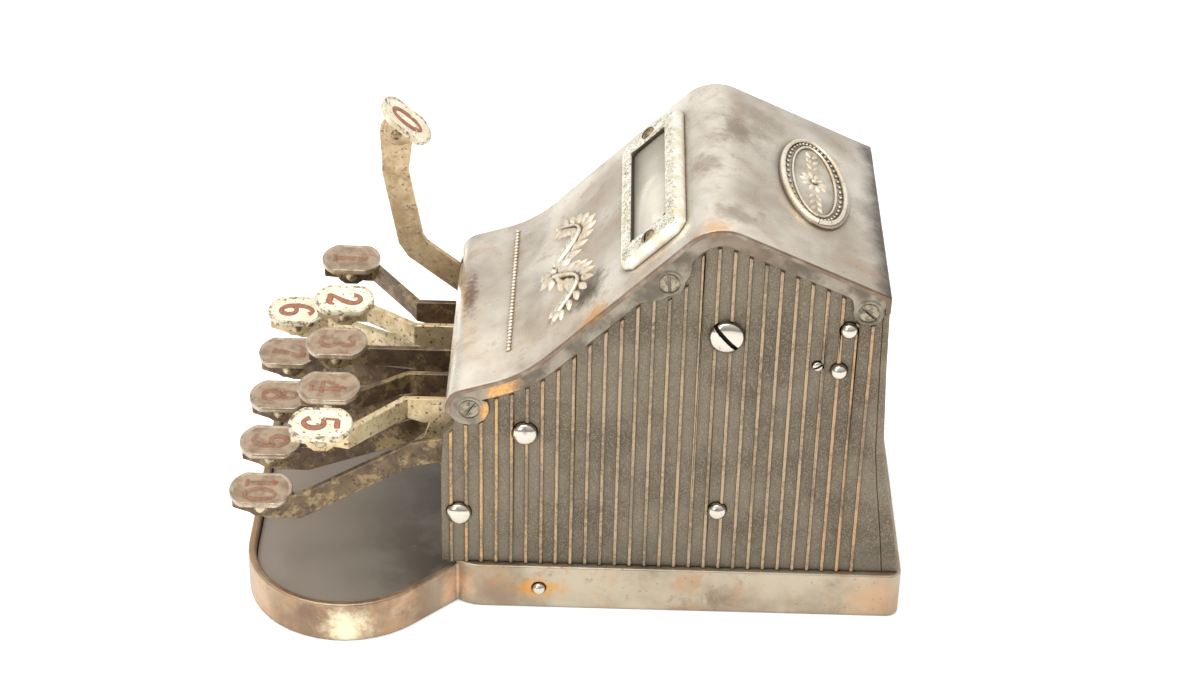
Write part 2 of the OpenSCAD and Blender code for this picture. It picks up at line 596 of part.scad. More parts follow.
// Spacer sleeves on the shafts
module key_spacers() color("silver") difference() {
    for (i = [-5:4]) xcyl(3.4, i * lever_pitch + lever_t / 2 + (i == -5 ? 1.5 : 0.15),
        (i + 1) * lever_pitch - lever_t / 2 - 0.15, key_p);
    xcyl(key_shaft_r + seat_gap, -70, 70, key_p);
}
module wheel_spacer() color("silver") difference() {
    xcyl(3.6, sector_x - 0.6, wall_in - 0.1, wheel_p);
    xcyl(wheel_end_r + seat_gap, -70, 70, wheel_p);
}

// Return springs, from the lever tails down to the floor of the base
module key_springs() color("silver") for (i = [-4:5]) translate([i * lever_pitch, tail_y - 2,
    0]) rotate_extrude()
    polygon(concat([[0, 4.1], [1.2, 4.1]], [for (k = [0:11]) each [[1.2, 5 + k * 1.75], [1.6,
        5.6 + k * 1.75], [1.2, 6.2 + k * 1.75]]],
        [[1.2, key_p[1] - 3.15], [0, key_p[1] - 3.15]]));

base_casting();
apron_mat();
base_pins();
right_side_wall();
left_side_wall();
rear_wall();
front_comb();
top_cover();
cover_screws();
window_bezel();
bezel_screws();
window_glass();
key_shaft();
up_stop_rod();
down_stop_rod();
lift_rod();
hold_rod();
wheel_shaft();
wheel_screws();
adjust_screws();
key_lever(1);  // key_lever_1
key_lever(2);  // key_lever_2
key_lever(3);  // key_lever_3
key_lever(4);  // key_lever_4
key_lever(5);  // key_lever_5
key_lever(6);  // key_lever_6
key_lever(7);  // key_lever_7
key_lever(8);  // key_lever_8
key_lever(9);  // key_lever_9
key_lever(10);  // key_lever_10
digit_top(1);  // key_top_1
digit_top(2);  // key_top_2
digit_top(3);  // key_top_3
digit_top(4);  // key_top_4
digit_top(5);  // key_top_5
digit_top(6);  // key_top_6
digit_top(7);  // key_top_7
digit_top(8);  // key_top_8
digit_top(9);  // key_top_9
digit_top(10);  // key_top_10
zero_lever();
zero_top();
reset_comb();
units_wheel();
tens_wheel();
hundreds_wheel();
tens_carry();
hundreds_carry();
detent_springs();
drive_frame();
idler_stud();
idler_gear();
drive_pinion();
key_spacers();
wheel_spacer();
key_springs();
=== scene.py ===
# Looks of the adding machine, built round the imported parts: softened castings, riveted key tops,
# painted digits, leaf ornaments and worn metal finishes.
import json
from math import atan2, cos, pi, radians, sin, sqrt
import bmesh
import bpy
from mathutils import Matrix, Vector
from mathutils.bvhtree import BVHTree

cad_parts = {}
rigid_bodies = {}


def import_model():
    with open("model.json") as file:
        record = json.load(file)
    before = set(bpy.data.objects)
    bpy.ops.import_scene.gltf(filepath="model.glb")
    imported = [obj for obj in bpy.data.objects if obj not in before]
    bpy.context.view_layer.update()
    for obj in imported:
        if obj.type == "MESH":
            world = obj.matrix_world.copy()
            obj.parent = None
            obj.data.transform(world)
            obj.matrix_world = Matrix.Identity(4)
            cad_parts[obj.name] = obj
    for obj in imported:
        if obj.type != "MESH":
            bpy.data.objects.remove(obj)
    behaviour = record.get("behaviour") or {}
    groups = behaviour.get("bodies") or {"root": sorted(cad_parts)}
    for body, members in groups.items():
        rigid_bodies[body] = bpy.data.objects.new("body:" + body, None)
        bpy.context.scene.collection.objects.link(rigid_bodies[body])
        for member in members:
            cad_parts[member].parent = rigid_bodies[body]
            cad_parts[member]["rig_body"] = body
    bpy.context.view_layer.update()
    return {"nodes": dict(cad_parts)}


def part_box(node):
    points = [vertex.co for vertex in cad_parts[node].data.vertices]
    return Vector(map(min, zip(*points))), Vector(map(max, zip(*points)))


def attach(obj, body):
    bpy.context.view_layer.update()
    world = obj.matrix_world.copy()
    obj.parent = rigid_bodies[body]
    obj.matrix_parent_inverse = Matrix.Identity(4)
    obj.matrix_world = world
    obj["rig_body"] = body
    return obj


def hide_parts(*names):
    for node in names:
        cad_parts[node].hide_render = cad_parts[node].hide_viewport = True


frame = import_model()
nodes = frame["nodes"]
mm = 0.001
print("frame in:", len(nodes), "nodes")


def tone(r, g, b):  # screen colour, 0 to 255, as the shader wants it
    return tuple(((c / 255 + 0.055) / 1.055) ** 2.4 if c > 10 else c / 3294.6 for c in (r, g, b)) + (1.0,)


class Val:  # one socket, with plain arithmetic
    def __init__(self, home, socket):
        self.home = home
        self.socket = socket

    def math(self, operation, first, second):
        return self.home.node("ShaderNodeMath", {"operation": operation}, {0: first, 1: second})

    def __add__(self, other):
        return self.math("ADD", self, other)

    def __radd__(self, other):
        return self.math("ADD", other, self)

    def __sub__(self, other):
        return self.math("SUBTRACT", self, other)

    def __rsub__(self, other):
        return self.math("SUBTRACT", other, self)

    def __mul__(self, other):
        return self.math("MULTIPLY", self, other)

    def __rmul__(self, other):
        return self.math("MULTIPLY", other, self)

    def __or__(self, other):  # the stronger of two masks
        return self.math("MAXIMUM", self, other)

    def __abs__(self):
        return self.math("ABSOLUTE", self, 0)


class Nodes:  # a node tree and the one way to add to it
    def __init__(self, tree):
        self.tree = tree

    def feed(self, target, sockets):
        for key, value in sockets.items():
            if isinstance(value, Val):
                self.tree.links.new(value.socket, target.inputs[key])
            else:
                target.inputs[key].default_value = value

    def node(self, kind, settings=None, sockets=None, out=0):
        made = self.tree.nodes.new(kind)
        for key, value in (settings or {}).items():
            setattr(made, key, value)
        self.feed(made, sockets or {})
        return Val(self, made.outputs[out])


class Finish(Nodes):  # a material; sizes in millimetres, colours as on screen
    def __init__(self, name):
        self.material = bpy.data.materials.new(name)
        self.material.use_nodes = True
        super().__init__(self.material.node_tree)
        self.shader = self.tree.nodes["Principled BSDF"]
        self.place = self.node("ShaderNodeTexCoord", out="Object")
        self.axes = {}

    def axis(self, letter):
        if letter not in self.axes:
            self.axes[letter] = self.node("ShaderNodeSeparateXYZ", None, {0: self.place}, letter)
        return self.axes[letter]

    def vector(self, operation, first, second=(0, 0, 0), out="Vector"):
        return self.node("ShaderNodeVectorMath", {"operation": operation}, {0: first, 1: second}, out)

    def shifted(self, seed, stretch=(1, 1, 1)):
        move = (seed * 0.37, seed * 0.61, seed * 0.83)
        return self.node("ShaderNodeMapping", None,
                         {"Vector": self.place, "Location": move, "Scale": stretch})

    def noise(self, size, seed=0, detail=4, rough=0.55, warp=0, stretch=(1, 1, 1)):
        return self.node("ShaderNodeTexNoise", None,
                         {"Vector": self.shifted(seed, stretch), "Scale": 1 / (size * mm),
                          "Detail": detail, "Roughness": rough, "Distortion": warp})

    def specks(self, size, seed=0):  # distance to the nearest point of a scatter
        return self.node("ShaderNodeTexVoronoi", None,
                         {"Vector": self.shifted(seed), "Scale": 1 / (size * mm)}, "Distance")

    def ramp(self, value, low, high, start=0.0, end=1.0):
        return self.node("ShaderNodeMapRange", {"interpolation_type": "SMOOTHSTEP"},
                         {"Value": value, "From Min": low, "From Max": high,
                          "To Min": start, "To Max": end})

    def blend(self, mask, under, over):
        under, over = (c if isinstance(c, Val) else tone(*c) for c in (under, over))
        return self.node("ShaderNodeMix", {"data_type": "RGBA"}, {0: mask, 6: under, 7: over}, 2)

    def edge(self, radius):  # 0 on flats, rising near corners
        soft = self.node("ShaderNodeBevel", {"samples": 4}, {"Radius": radius * mm})
        flat = self.node("ShaderNodeNewGeometry", out="Normal")
        return 1 - self.vector("DOT_PRODUCT", soft, flat, "Value")

    def wornEdge(self, radius, fine, ragged, low, high):  # corners, broken up by the grain
        return self.ramp(self.edge(radius) + (fine - 0.5) * ragged, low, high)

    def dirty(self, colour, reach, low, high, amount, shade):  # dirt and painted shade in hollows and against neighbours, darkened by ambient occlusion
        grimeAndShade = 1 - self.node("ShaderNodeAmbientOcclusion", {"samples": 6}, {"Distance": reach * mm}, "AO")
        return self.blend(self.ramp(grimeAndShade, low, high) * amount, colour, shade)

    def pits(self, size, seed, grain, low, high, full=1.0):
        return self.ramp(self.specks(size, seed) + grain, low, high, full, 0.0)

    def spot(self, x, y, z, radius, seed=0, wide=1.0, long=1.0):  # a ragged patch round one point
        away = self.vector("SUBTRACT", self.place, (x * mm, y * mm, z * mm))
        away = self.vector("MULTIPLY", away, (1 / wide, 1 / long, 1))
        away = self.vector("LENGTH", away, out="Value")
        ragged = (self.noise(radius * 0.7, seed) - 0.5) * 1.5
        ragged = ragged + (self.noise(1.3, seed + 50, 4, 0.7) - 0.5) * 1.1
        return self.ramp(away + ragged * (radius * mm), radius * mm * 0.1, radius * mm * 1.2, 1.0, 0.0)

    # stains and painted highlights, each a ragged spot
    def stained(self, colour, stainsAndLights, seed):
        for i, (x, y, z, radius, amount, shade, *stretch) in enumerate(stainsAndLights):
            colour = self.blend(self.spot(x, y, z, radius, seed + i, *stretch) * amount, colour, shade)
        return colour

    def bump(self, height, strength, distance):
        return self.node("ShaderNodeBump", None,
                         {"Height": height, "Strength": strength, "Distance": distance * mm})

    def finish(self, colour, metal, rough, normal=None, **others):
        sockets = {"Base Color": colour, "Metallic": metal, "Roughness": rough, **others}
        if normal is not None:
            sockets["Normal"] = normal
        self.feed(self.shader, sockets)
        return self.material


# stains and painted highlights: x, y, z and radius, strength, colour, then stretch across and along
coverStainsAndHighlights = [
    (21, -23.4, 82.1, 7.5, 0.95, (98, 82, 66)), (-6.6, -51.9, 63.3, 2.2, 0.85, (140, 100, 78), 5, 1),
    (27, 9.8, 108, 5, 0.6, (150, 132, 112)), (-13, 12, 107, 9, 0.75, (160, 137, 113)),
    # the near-white spot at -15.5, 5.4, 110 is a painted highlight on the ridge
    (0, 43.5, 93, 7, 0.5, (160, 146, 130)), (-15.5, 5.4, 110, 5, 0.9, (255, 246, 226)),
    (5, 3, 109.5, 6, 0.65, (160, 136, 110)), (-24, 18, 104, 7, 0.55, (172, 150, 126)),
    # the near-white spot at 30, -32.7, 72.8 is a painted highlight
    (30, -32.7, 72.8, 7, 0.8, (250, 240, 224)), (34.5, 5, 110, 6, 0.75, (230, 182, 132)),
    (34.5, -22, 84, 5, 0.85, (238, 180, 116))]
baseStainsAndHighlight = [
    (36, -33.2, 6, 3.4, 0.95, (216, 150, 66), 1, 2.3), (-36, -33.2, 6, 3.4, 0.95, (216, 150, 66), 1, 2.3),
    # the pale spot at 50, -79, 4 is a painted highlight on the apron wall
    (50, -79, 4, 6.5, 0.8, (255, 244, 206)), (50, -89, 8, 5, 0.7, (120, 94, 82)),
    (42, -66, 7, 6, 0.7, (122, 98, 84)), (33, -60.5, 8, 4, 0.85, (226, 150, 70)),
    (36, -53, 5, 5, 0.7, (226, 178, 142)), (36, 48, 5, 8, 0.6, (200, 156, 118)),
    (38, -99, 5, 8, 0.6, (206, 176, 142)), (44.5, -67.5, 8, 5, 0.6, (206, 176, 146)),
    (36, -42, 4, 7, 0.5, (140, 118, 96))]


def nickelCover():  # rubbed nickel over copper, stained and pitted, with painted highlights and painted shade along the rear edge
    f = Finish("nickelCover")
    cloud = f.noise(30, 1, 4, 0.55)
    smudge = f.noise(9, 2, 6, 0.65, 0.4)
    fine = f.noise(0.9, 3, 4, 0.7)
    colour = f.blend(f.ramp(cloud, 0.36, 0.64), (255, 246, 229), (212, 198, 178))
    colour = f.blend(f.ramp(f.noise(12, 5, 6, 0.6, 0.6), 0.52, 0.7) * 0.5, colour, (206, 172, 144))
    colour = f.blend(f.ramp(smudge, 0.55, 0.72) * 0.5, colour, (150, 133, 114))
    colour = f.stained(colour, coverStainsAndHighlights, 7)
    pits = f.pits(2.6, 4, fine * 0.5, 0.3, 0.42)
    colour = f.blend(pits * 0.5, colour, (120, 106, 92))
    colour = f.dirty(colour, 2.6, 0.05, 0.36, 0.9, (92, 78, 64))
    # painted shade along the rear edge, where the cover curves down
    rearEdgeShade = f.ramp(f.axis("Y") + (smudge - 0.5) * 0.008, 0.041, 0.0465) * 0.92
    colour = f.blend(rearEdgeShade, colour, (104, 94, 84))
    bead = f.ramp(abs(f.axis("X")), 0.0349, 0.0353) * f.ramp(f.noise(5, 6, 5, 0.65), 0.3, 0.6, 0.75, 0.95)
    colour = f.blend(bead, colour, (116, 96, 78))
    colour = f.blend(f.wornEdge(0.5, fine, 0.12, 0.05, 0.24) * 0.45, colour, (224, 204, 176))
    rough = f.ramp(smudge, 0.35, 0.7, 0.24, 0.46) + fine * 0.06
    return f.finish(colour, 0.85 - pits * 0.5, rough, f.bump(fine * 0.4 + smudge, 0.2, 0.12))


def bandMetal():  # side flanges: greyed nickel, copper showing near the front screw
    f = Finish("bandMetal")
    cloud = f.noise(7, 111, 5, 0.6)
    fine = f.noise(0.7, 112, 4, 0.7)
    wander = f.axis("Y") + (cloud - 0.5) * 0.012
    colour = f.blend(f.ramp(cloud, 0.38, 0.64), (156, 147, 130), (106, 97, 84))
    copper = f.blend(f.ramp(fine, 0.4, 0.6), (232, 176, 108), (196, 150, 104))
    bare = f.ramp(wander, -0.0485, -0.0455) * f.ramp(wander, -0.0415, -0.035, 1.0, 0.0)
    colour = f.blend(bare, colour, copper)
    brown = f.ramp(abs(wander - 0.012), 0.004, 0.014, 1.0, 0.0) * 0.6
    colour = f.blend(brown, colour, (126, 105, 85))
    colour = f.dirty(colour, 1.6, 0.25, 0.8, 0.8, (66, 58, 50))
    colour = f.blend(f.wornEdge(0.35, fine, 0.14, 0.05, 0.22) * 0.6, colour, (206, 188, 160))
    return f.finish(colour, 0.8, 0.34 + fine * 0.16, f.bump(fine, 0.25, 0.1))


def ribbedBronze():  # bronzed wall with a sandy grain, ridge crests rubbed to tan and copper, with a painted highlight along them
    f = Finish("ribbedBronze")
    out = abs(f.axis("X"))
    cloud = f.noise(16, 11, 5, 0.6)
    fine = f.noise(0.8, 12, 4, 0.7)
    sand = f.noise(0.35, 14, 2, 0.6)
    colour = f.blend(f.ramp(cloud, 0.38, 0.66), (122, 112, 95), (95, 86, 73))
    colour = f.blend(f.ramp(sand, 0.46, 0.7) * 0.75, colour, (156, 141, 117))
    colour = f.blend(f.ramp(f.noise(1.1, 15, 4, 0.7), 0.6, 0.7) * 0.6, colour, (84, 75, 63))
    foot = f.ramp(f.axis("Z") + (cloud - 0.5) * 0.02, 0.026, 0.012)
    colour = f.blend(foot * 0.45, colour, (104, 100, 86))
    # ridge crests: rubbed tan and copper, also a painted highlight along each crest
    ridge = f.ramp(out + (fine - 0.5) * 0.0003, 0.03448, 0.03478)
    rubAndHighlight = f.ramp(f.noise(6, 13, 5, 0.65, 0, (1, 1, 0.3)) + (fine - 0.5) * 0.8, 0.36, 0.62)
    copper = f.blend(f.ramp(f.axis("Y"), -0.058, -0.02), (208, 164, 112), (178, 156, 125))
    copper = f.blend(f.ramp(f.axis("Y"), 0.025, 0.04), copper, (188, 152, 114))
    colour = f.blend(ridge * (0.12 + rubAndHighlight * 0.88), colour, copper)
    colour = f.dirty(colour, 1.2, 0.18, 0.55, 0.75, (56, 48, 40))
    rim = f.wornEdge(1.2, fine, 0.1, 0.12, 0.32) * (1 - f.ramp(out, 0.0343, 0.0344))
    colour = f.blend(rim * 0.5, colour, (176, 140, 98))
    rough = 0.46 - ridge * 0.1 + fine * 0.12
    return f.finish(colour, f.ramp(cloud, 0.3, 0.7, 0.5, 0.7), rough, f.bump(sand * 0.6 + fine, 0.45, 0.16))


def mottledCasting():  # base: worn tan plating, copper and dark patches, brighter round the apron, with a painted highlight on the apron wall
    f = Finish("mottledCasting")
    cloud = f.noise(24, 21, 5, 0.6)
    blot = f.noise(9, 22, 6, 0.68, 0.5)
    fine = f.noise(0.8, 23, 4, 0.7)
    front = f.ramp(f.axis("Y"), -0.056, -0.062)
    apron = f.blend(f.ramp(cloud, 0.4, 0.6), (176, 147, 114), (138, 111, 87))
    colour = f.blend(f.ramp(cloud, 0.36, 0.64), (190, 178, 156), (156, 140, 118))
    colour = f.blend(front * 0.8, colour, apron)
    colour = f.blend(f.ramp(blot + front * 0.03, 0.52, 0.68) * 0.6, colour, (192, 148, 106))
    colour = f.blend(f.ramp(f.noise(7, 24, 6, 0.7, 0.4), 0.55, 0.72) * 0.7, colour, (136, 112, 92))
    colour = f.stained(colour, baseStainsAndHighlight, 26)
    colour = f.blend(f.wornEdge(1.1, fine, 0.12, 0.06, 0.26) * 0.7, colour, (240, 214, 176))
    colour = f.dirty(colour, 2.2, 0.3, 0.8, 0.8, (72, 60, 48))
    pits = f.pits(2.2, 27, fine * 0.4, 0.24, 0.36)
    colour = f.blend(pits * 0.5, colour, (110, 92, 72))
    rough = f.ramp(blot, 0.3, 0.7, 0.28, 0.46)
    return f.finish(colour, 0.75 - pits * 0.5, rough, f.bump(fine * 0.5 + blot, 0.28, 0.15))


def apronLining():  # dark sheet in the apron, dusty and slightly shiny, with a painted sheen lighter towards the front
    f = Finish("apronLining")
    grain = f.noise(0.5, 31, 3, 0.7)
    dust = f.noise(16, 32, 4, 0.6)
    # painted sheen: lighter towards the front
    front = f.ramp(f.axis("Y") + (dust - 0.5) * 0.02, -0.06, -0.095)
    colour = f.blend(f.ramp(dust, 0.36, 0.66), (92, 84, 75), (126, 118, 106))
    colour = f.blend(front * 0.8, colour, (172, 161, 147))
    colour = f.blend(f.pits(4, 33, grain * 0.3, 0.16, 0.24, 0.5), colour, (170, 160, 146))
    colour = f.dirty(colour, 3, 0.3, 0.8, 0.7, (58, 50, 43))
    return f.finish(colour, 0.25, f.ramp(dust, 0.3, 0.7, 0.32, 0.5), f.bump(grain, 0.25, 0.1))


def engravedBezel():  # cream plating, scrolled lines cut in the flat, plain round the edges, the opening's inner walls painted dark as shade
    f = Finish("engravedBezel")
    fine = f.noise(0.7, 41, 4, 0.7)
    blot = f.noise(4, 42, 6, 0.7)
    across = abs((f.axis("Y") + 0.0077) * 0.7071 + (f.axis("Z") - 0.0978) * 0.7071)
    along = abs(f.axis("X"))
    flat = f.ramp(across, 0.0080, 0.0083, 1.0, 0.0) * f.ramp(along, 0.0265, 0.0268, 1.0, 0.0)
    colour = f.blend(f.ramp(blot, 0.4, 0.64), (255, 252, 238), (232, 222, 194))
    scroll = f.ramp(abs(f.noise(1.5, 43, 2, 0.5, 1.2) - 0.5), 0.015, 0.05, 1.0, 0.0)
    scroll = scroll * f.ramp(f.noise(2.2, 45, 3, 0.6), 0.4, 0.5)
    cut = (scroll | f.ramp(f.noise(0.8, 46, 3, 0.7), 0.6, 0.66)) * flat
    colour = f.blend(cut * 0.85, colour, (104, 92, 70))
    colour = f.blend(f.pits(1.6, 44, fine * 0.5, 0.26, 0.4) * 0.6, colour, (110, 96, 72))
    colour = f.dirty(colour, 1.2, 0.3, 0.8, 0.6, (120, 102, 74))
    # painted shade on the inner walls of the opening
    wall = f.ramp(across, 0.00545, 0.0056, 1.0, 0.0) * f.ramp(along, 0.02095, 0.0211, 1.0, 0.0)
    colour = f.blend(wall, colour, (78, 66, 52))
    return f.finish(colour, 0.5, f.ramp(blot, 0.3, 0.7, 0.3, 0.5), f.bump(fine * 0.4 - cut, 0.4, 0.15))


def cloudedGlass():
    f = Finish("cloudedGlass")
    haze = f.noise(6, 51, 5, 0.6)
    colour = f.blend(f.ramp(haze, 0.4, 0.65), (214, 207, 190), (202, 195, 178))
    clear = f.ramp(haze, 0.3, 0.7, 0.94, 1.0)
    return f.finish(colour, 0.0, f.ramp(haze, 0.3, 0.7, 0.12, 0.3), Alpha=clear)


def polishedSteel():
    f = Finish("polishedSteel")
    fine = f.noise(0.5, 61, 3, 0.6)
    stain = f.noise(1.8, 62, 5, 0.65)
    colour = f.blend(f.ramp(stain, 0.55, 0.7) * 0.5, (206, 199, 186), (128, 108, 84))
    colour = f.dirty(colour, 0.7, 0.4, 0.9, 0.8, (58, 48, 40))
    return f.finish(colour, 1.0, 0.1 + fine * 0.1, f.bump(fine, 0.06, 0.05))


def dullScrew():
    f = Finish("dullScrew")
    fine = f.noise(1.4, 66, 4, 0.7)
    colour = f.blend(f.ramp(fine, 0.42, 0.62), (164, 154, 134), (112, 100, 82))
    colour = f.blend(f.ramp(f.edge(0.35), 0.05, 0.25) * 0.7, colour, (206, 200, 186))
    colour = f.dirty(colour, 1, 0.3, 0.8, 0.85, (48, 42, 36))
    return f.finish(colour, 0.85, 0.34 + fine * 0.2, f.bump(fine, 0.25, 0.08))


def pittedLever(name, light, deep, pit, seed, amount, gold=0.0, dirt=(0.9, 0.3, 0.75)):
    f = Finish(name)
    fine = f.noise(0.7, seed, 4, 0.7)
    blot = f.noise(3.4, seed + 1, 8, 0.72, 0.2) * 0.6 + f.noise(12, seed + 4, 4, 0.6) * 0.4
    colour = f.blend(f.ramp(blot, 0.4, 0.6), light, deep)
    colour = f.blend(f.ramp(f.noise(6, seed + 5, 6, 0.72), 0.5, 0.58) * gold, colour, (190, 166, 116))
    pits = f.pits(2.1, seed + 2, fine * 0.55, 0.39, 0.48)
    pits = pits | f.ramp(f.noise(1.5, seed + 3, 5, 0.75), 0.56, 0.64)
    colour = f.blend(pits * amount, colour, pit)
    colour = f.blend(f.wornEdge(0.5, fine, 0.12, 0.06, 0.26) * 0.65, colour, (236, 226, 200))
    # dirt and painted shade in hollows, from ambient occlusion
    colour = f.dirty(colour, *dirt, 0.85, (78, 62, 46))
    rough = f.ramp(blot, 0.3, 0.7, 0.3, 0.46) + fine * 0.06
    return f.finish(colour, 0.55 - pits * 0.35, rough, f.bump(fine * 0.6 - pits * 0.5, 0.3, 0.12))


def keyEnamel(name, light, deep, chip, seed, amount, flecks, gloss, metal):
    f = Finish(name)
    fine = f.noise(0.6, seed, 4, 0.7)
    blot = f.noise(3.4, seed + 1, 6, 0.66)
    colour = f.blend(f.ramp(blot, 0.4, 0.64), light, deep)
    chips = f.ramp(f.noise(1.5, seed + 2, 6, 0.72), flecks, flecks + 0.035)
    rim = f.wornEdge(0.9, fine, 0.25, 0.06, 0.26)
    colour = f.blend((chips | rim * 0.9) * amount, colour, chip)
    rough = f.ramp(blot, 0.3, 0.7, gloss, gloss + 0.16)
    bare = (chips | rim) * 0.5 * amount
    return f.finish(colour, bare + metal, rough, f.bump(blot - chips * 0.7, 0.2, 0.12))


def digitPaint(name, colour, keep, seed, grain=0.9, soft=0.03, full=1.0):  # keep: the share still there
    f = Finish(name)
    flake = f.noise(grain, seed, 5, 0.7)
    shade = f.blend(f.ramp(flake, 0.42, 0.66) * 0.7, colour, (112, 74, 54))
    return f.finish(shade, 0.0, 0.5, Alpha=f.ramp(flake, keep - soft, keep + soft, full, 0.0))


def plainMetal(name, light, deep, seed, rough=0.4):  # inner works
    f = Finish(name)
    fine = f.noise(0.8, seed, 4, 0.7)
    stain = f.noise(6, seed + 1, 5, 0.6)
    colour = f.blend(f.ramp(stain, 0.4, 0.66), light, deep)
    return f.finish(colour, 0.9, rough + fine * 0.12, f.bump(fine, 0.15, 0.08))


def drumEnamel():
    f = Finish("drumEnamel")
    age = f.noise(4, 95, 5, 0.6)
    colour = f.blend(f.ramp(age, 0.42, 0.66), (240, 236, 222), (220, 212, 190))
    return f.finish(colour, 0.0, f.ramp(age, 0.3, 0.7, 0.3, 0.42), f.bump(age, 0.08, 0.1))


finishes = {"cover": nickelCover(), "band": bandMetal(), "wall": ribbedBronze(), "base": mottledCasting(),
            "mat": apronLining(), "bezel": engravedBezel(), "glass": cloudedGlass(),
            "bright": polishedSteel(), "screw": dullScrew(), "drum": drumEnamel()}
families = {  # light, dark and pit or chip colours, seed, then what each family takes
    pittedLever: {"leverPale": ((236, 218, 178), (204, 180, 136), (88, 66, 44), 70, 0.9),
                  "leverDark": ((122, 102, 77), (90, 72, 56), (64, 49, 38), 75, 0.8, 0.45),
                  "leverZero": ((224, 202, 164), (184, 158, 122), (112, 88, 66), 80, 0.7),
                  # relief: wide, strong dirt and painted shade round the raised leaves
                  "relief": ((255, 246, 226), (232, 214, 186), (120, 98, 76), 101, 0.45, 0.0,
                             (1.6, 0.1, 0.42)),
                  "bezelLeaf": ((248, 245, 228), (226, 218, 192), (140, 118, 84), 106, 0.6)},
    keyEnamel: {"keyPale": ((246, 238, 214), (228, 214, 182), (128, 100, 72), 85, 0.9, 0.585, 0.26, 0.0),
                "keyDark": ((184, 161, 134), (150, 125, 101), (222, 206, 184), 88, 0.6, 0.68, 0.2, 0.4),
                "keyPaleRim": ((240, 232, 208), (214, 198, 164), (122, 92, 66), 86, 0.9, 0.53, 0.28, 0.0),
                # keyDarkRim, lighter than keyDark, is a painted rim highlight on the dark keys' rims and
                # sides
                "keyDarkRim": ((200, 183, 160), (160, 139, 116), (116, 94, 76), 89, 0.6, 0.6, 0.2, 0.5)},
    digitPaint: {"digit": ((172, 112, 82), 0.62, 91, 1.2, 0.06),
                 "digitFaded": ((178, 112, 82), 0.54, 92, 2.2, 0.14, 0.5),
                 "drumDigit": ((40, 36, 34), 0.7, 93)},
    # the dark finish inside screw slots: dirt and painted shade
    plainMetal: {"slotDirtAndShade": ((70, 60, 50), (46, 38, 31), 125, 0.55),
                 "rivetBrass": ((204, 187, 156), (144, 122, 95), 121, 0.28),
                 "gearBrass": ((214, 184, 120), (170, 136, 80), 97),
                 "plainSteel": ((178, 174, 166), (124, 116, 104), 99)},
}
for family, members in families.items():
    for name, values in members.items():
        finishes[name] = family(name, *values)
print("finishes:", len(finishes))

bodyOf = {name: node["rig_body"] for name, node in nodes.items()}
metres = Matrix.Diagonal((mm, mm, mm, 1))  # pieces are drawn in millimetres


def shift(x, y, z=0):
    return Matrix.Translation((x, y, z))


def stretch(x, y, z):
    return Matrix.Diagonal((x, y, z, 1))


def turnBy(degrees, axis):
    return Matrix.Rotation(radians(degrees), 4, axis)


def meshFrom(bm, name):
    mesh = bpy.data.meshes.new(name)
    bm.to_mesh(mesh)
    bm.free()
    return mesh


def intoScene(name, data):
    made = bpy.data.objects.new(name, data)
    bpy.context.scene.collection.objects.link(made)
    return made


def addPiece(name, bm, body, finishKeys, stands=()):
    for face in bm.faces:
        face.smooth = True
    mesh = meshFrom(bm, name)
    if "custom_normal" in mesh.attributes:  # left over from the import, no longer true
        mesh.attributes.remove(mesh.attributes["custom_normal"])
    piece = intoScene(name, mesh)
    for key in finishKeys:
        mesh.materials.append(finishes[key])
    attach(piece, body)
    if stands:
        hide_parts(*stands)
    return piece


def standIn(node, suffix, bm, finishKeys):  # a drawn piece in place of a packed one
    return addPiece(node + suffix, bm, bodyOf[node], finishKeys, [node])


def roundEdges(piece, width, segments=2, angle=35):
    soft = piece.modifiers.new("roundEdges", "BEVEL")
    soft.width = width * mm
    soft.segments = segments
    soft.limit_method = "ANGLE"
    soft.angle_limit = radians(angle)
    soft.use_clamp_overlap = False
    soft.harden_normals = True


def weldedCopy(node):
    bm = bmesh.new()
    bm.from_mesh(nodes[node].data)
    bmesh.ops.remove_doubles(bm, verts=bm.verts, dist=0.002 * mm)
    bmesh.ops.dissolve_limit(bm, angle_limit=radians(0.6), verts=bm.verts, edges=bm.edges)
    for face in bm.faces:
        face.material_index = 0
    return bm


def moved(bm, matrix, verts=None):
    bmesh.ops.transform(bm, matrix=matrix, verts=verts or bm.verts)
    return bm


def joinInto(bm, other):
    keep = meshFrom(other, "keep")
    bm.from_mesh(keep)
    bpy.data.meshes.remove(keep)


def outward(bm):
    bmesh.ops.recalc_face_normals(bm, faces=bm.faces)


def newVerts(made):
    return [g for g in made["geom"] if isinstance(g, bmesh.types.BMVert)]


def pull(bm, faces, vec):  # draw faces out into a block
    bmesh.ops.translate(bm, vec=vec, verts=newVerts(bmesh.ops.extrude_face_region(bm, geom=faces)))


def slab(points, vec):  # a flat outline with thickness
    bm = bmesh.new()
    pull(bm, [bm.faces.new([bm.verts.new(p) for p in points])], vec)
    outward(bm)
    return bm


def chain(bm, points, closed=False):  # verts and edges along a line
    verts = [bm.verts.new(p) for p in points]
    ends = verts[1:] + (verts[:1] if closed else [])
    return verts, [bm.edges.new(pair) for pair in zip(verts, ends)]


def sharpEdges(bm, angle):
    return [e for e in bm.edges if len(e.link_faces) == 2 and e.calc_face_angle() > angle]


def ease(bm, edges, offset, segments=2):
    bmesh.ops.bevel(bm, geom=edges, offset=offset, affect="EDGES", segments=segments, profile=0.5,
                    material=-1)


def bisect(bm, point, normal):
    bmesh.ops.bisect_plane(bm, geom=bm.verts[:] + bm.edges[:] + bm.faces[:], plane_co=point,
                           plane_no=normal, dist=0.0001)


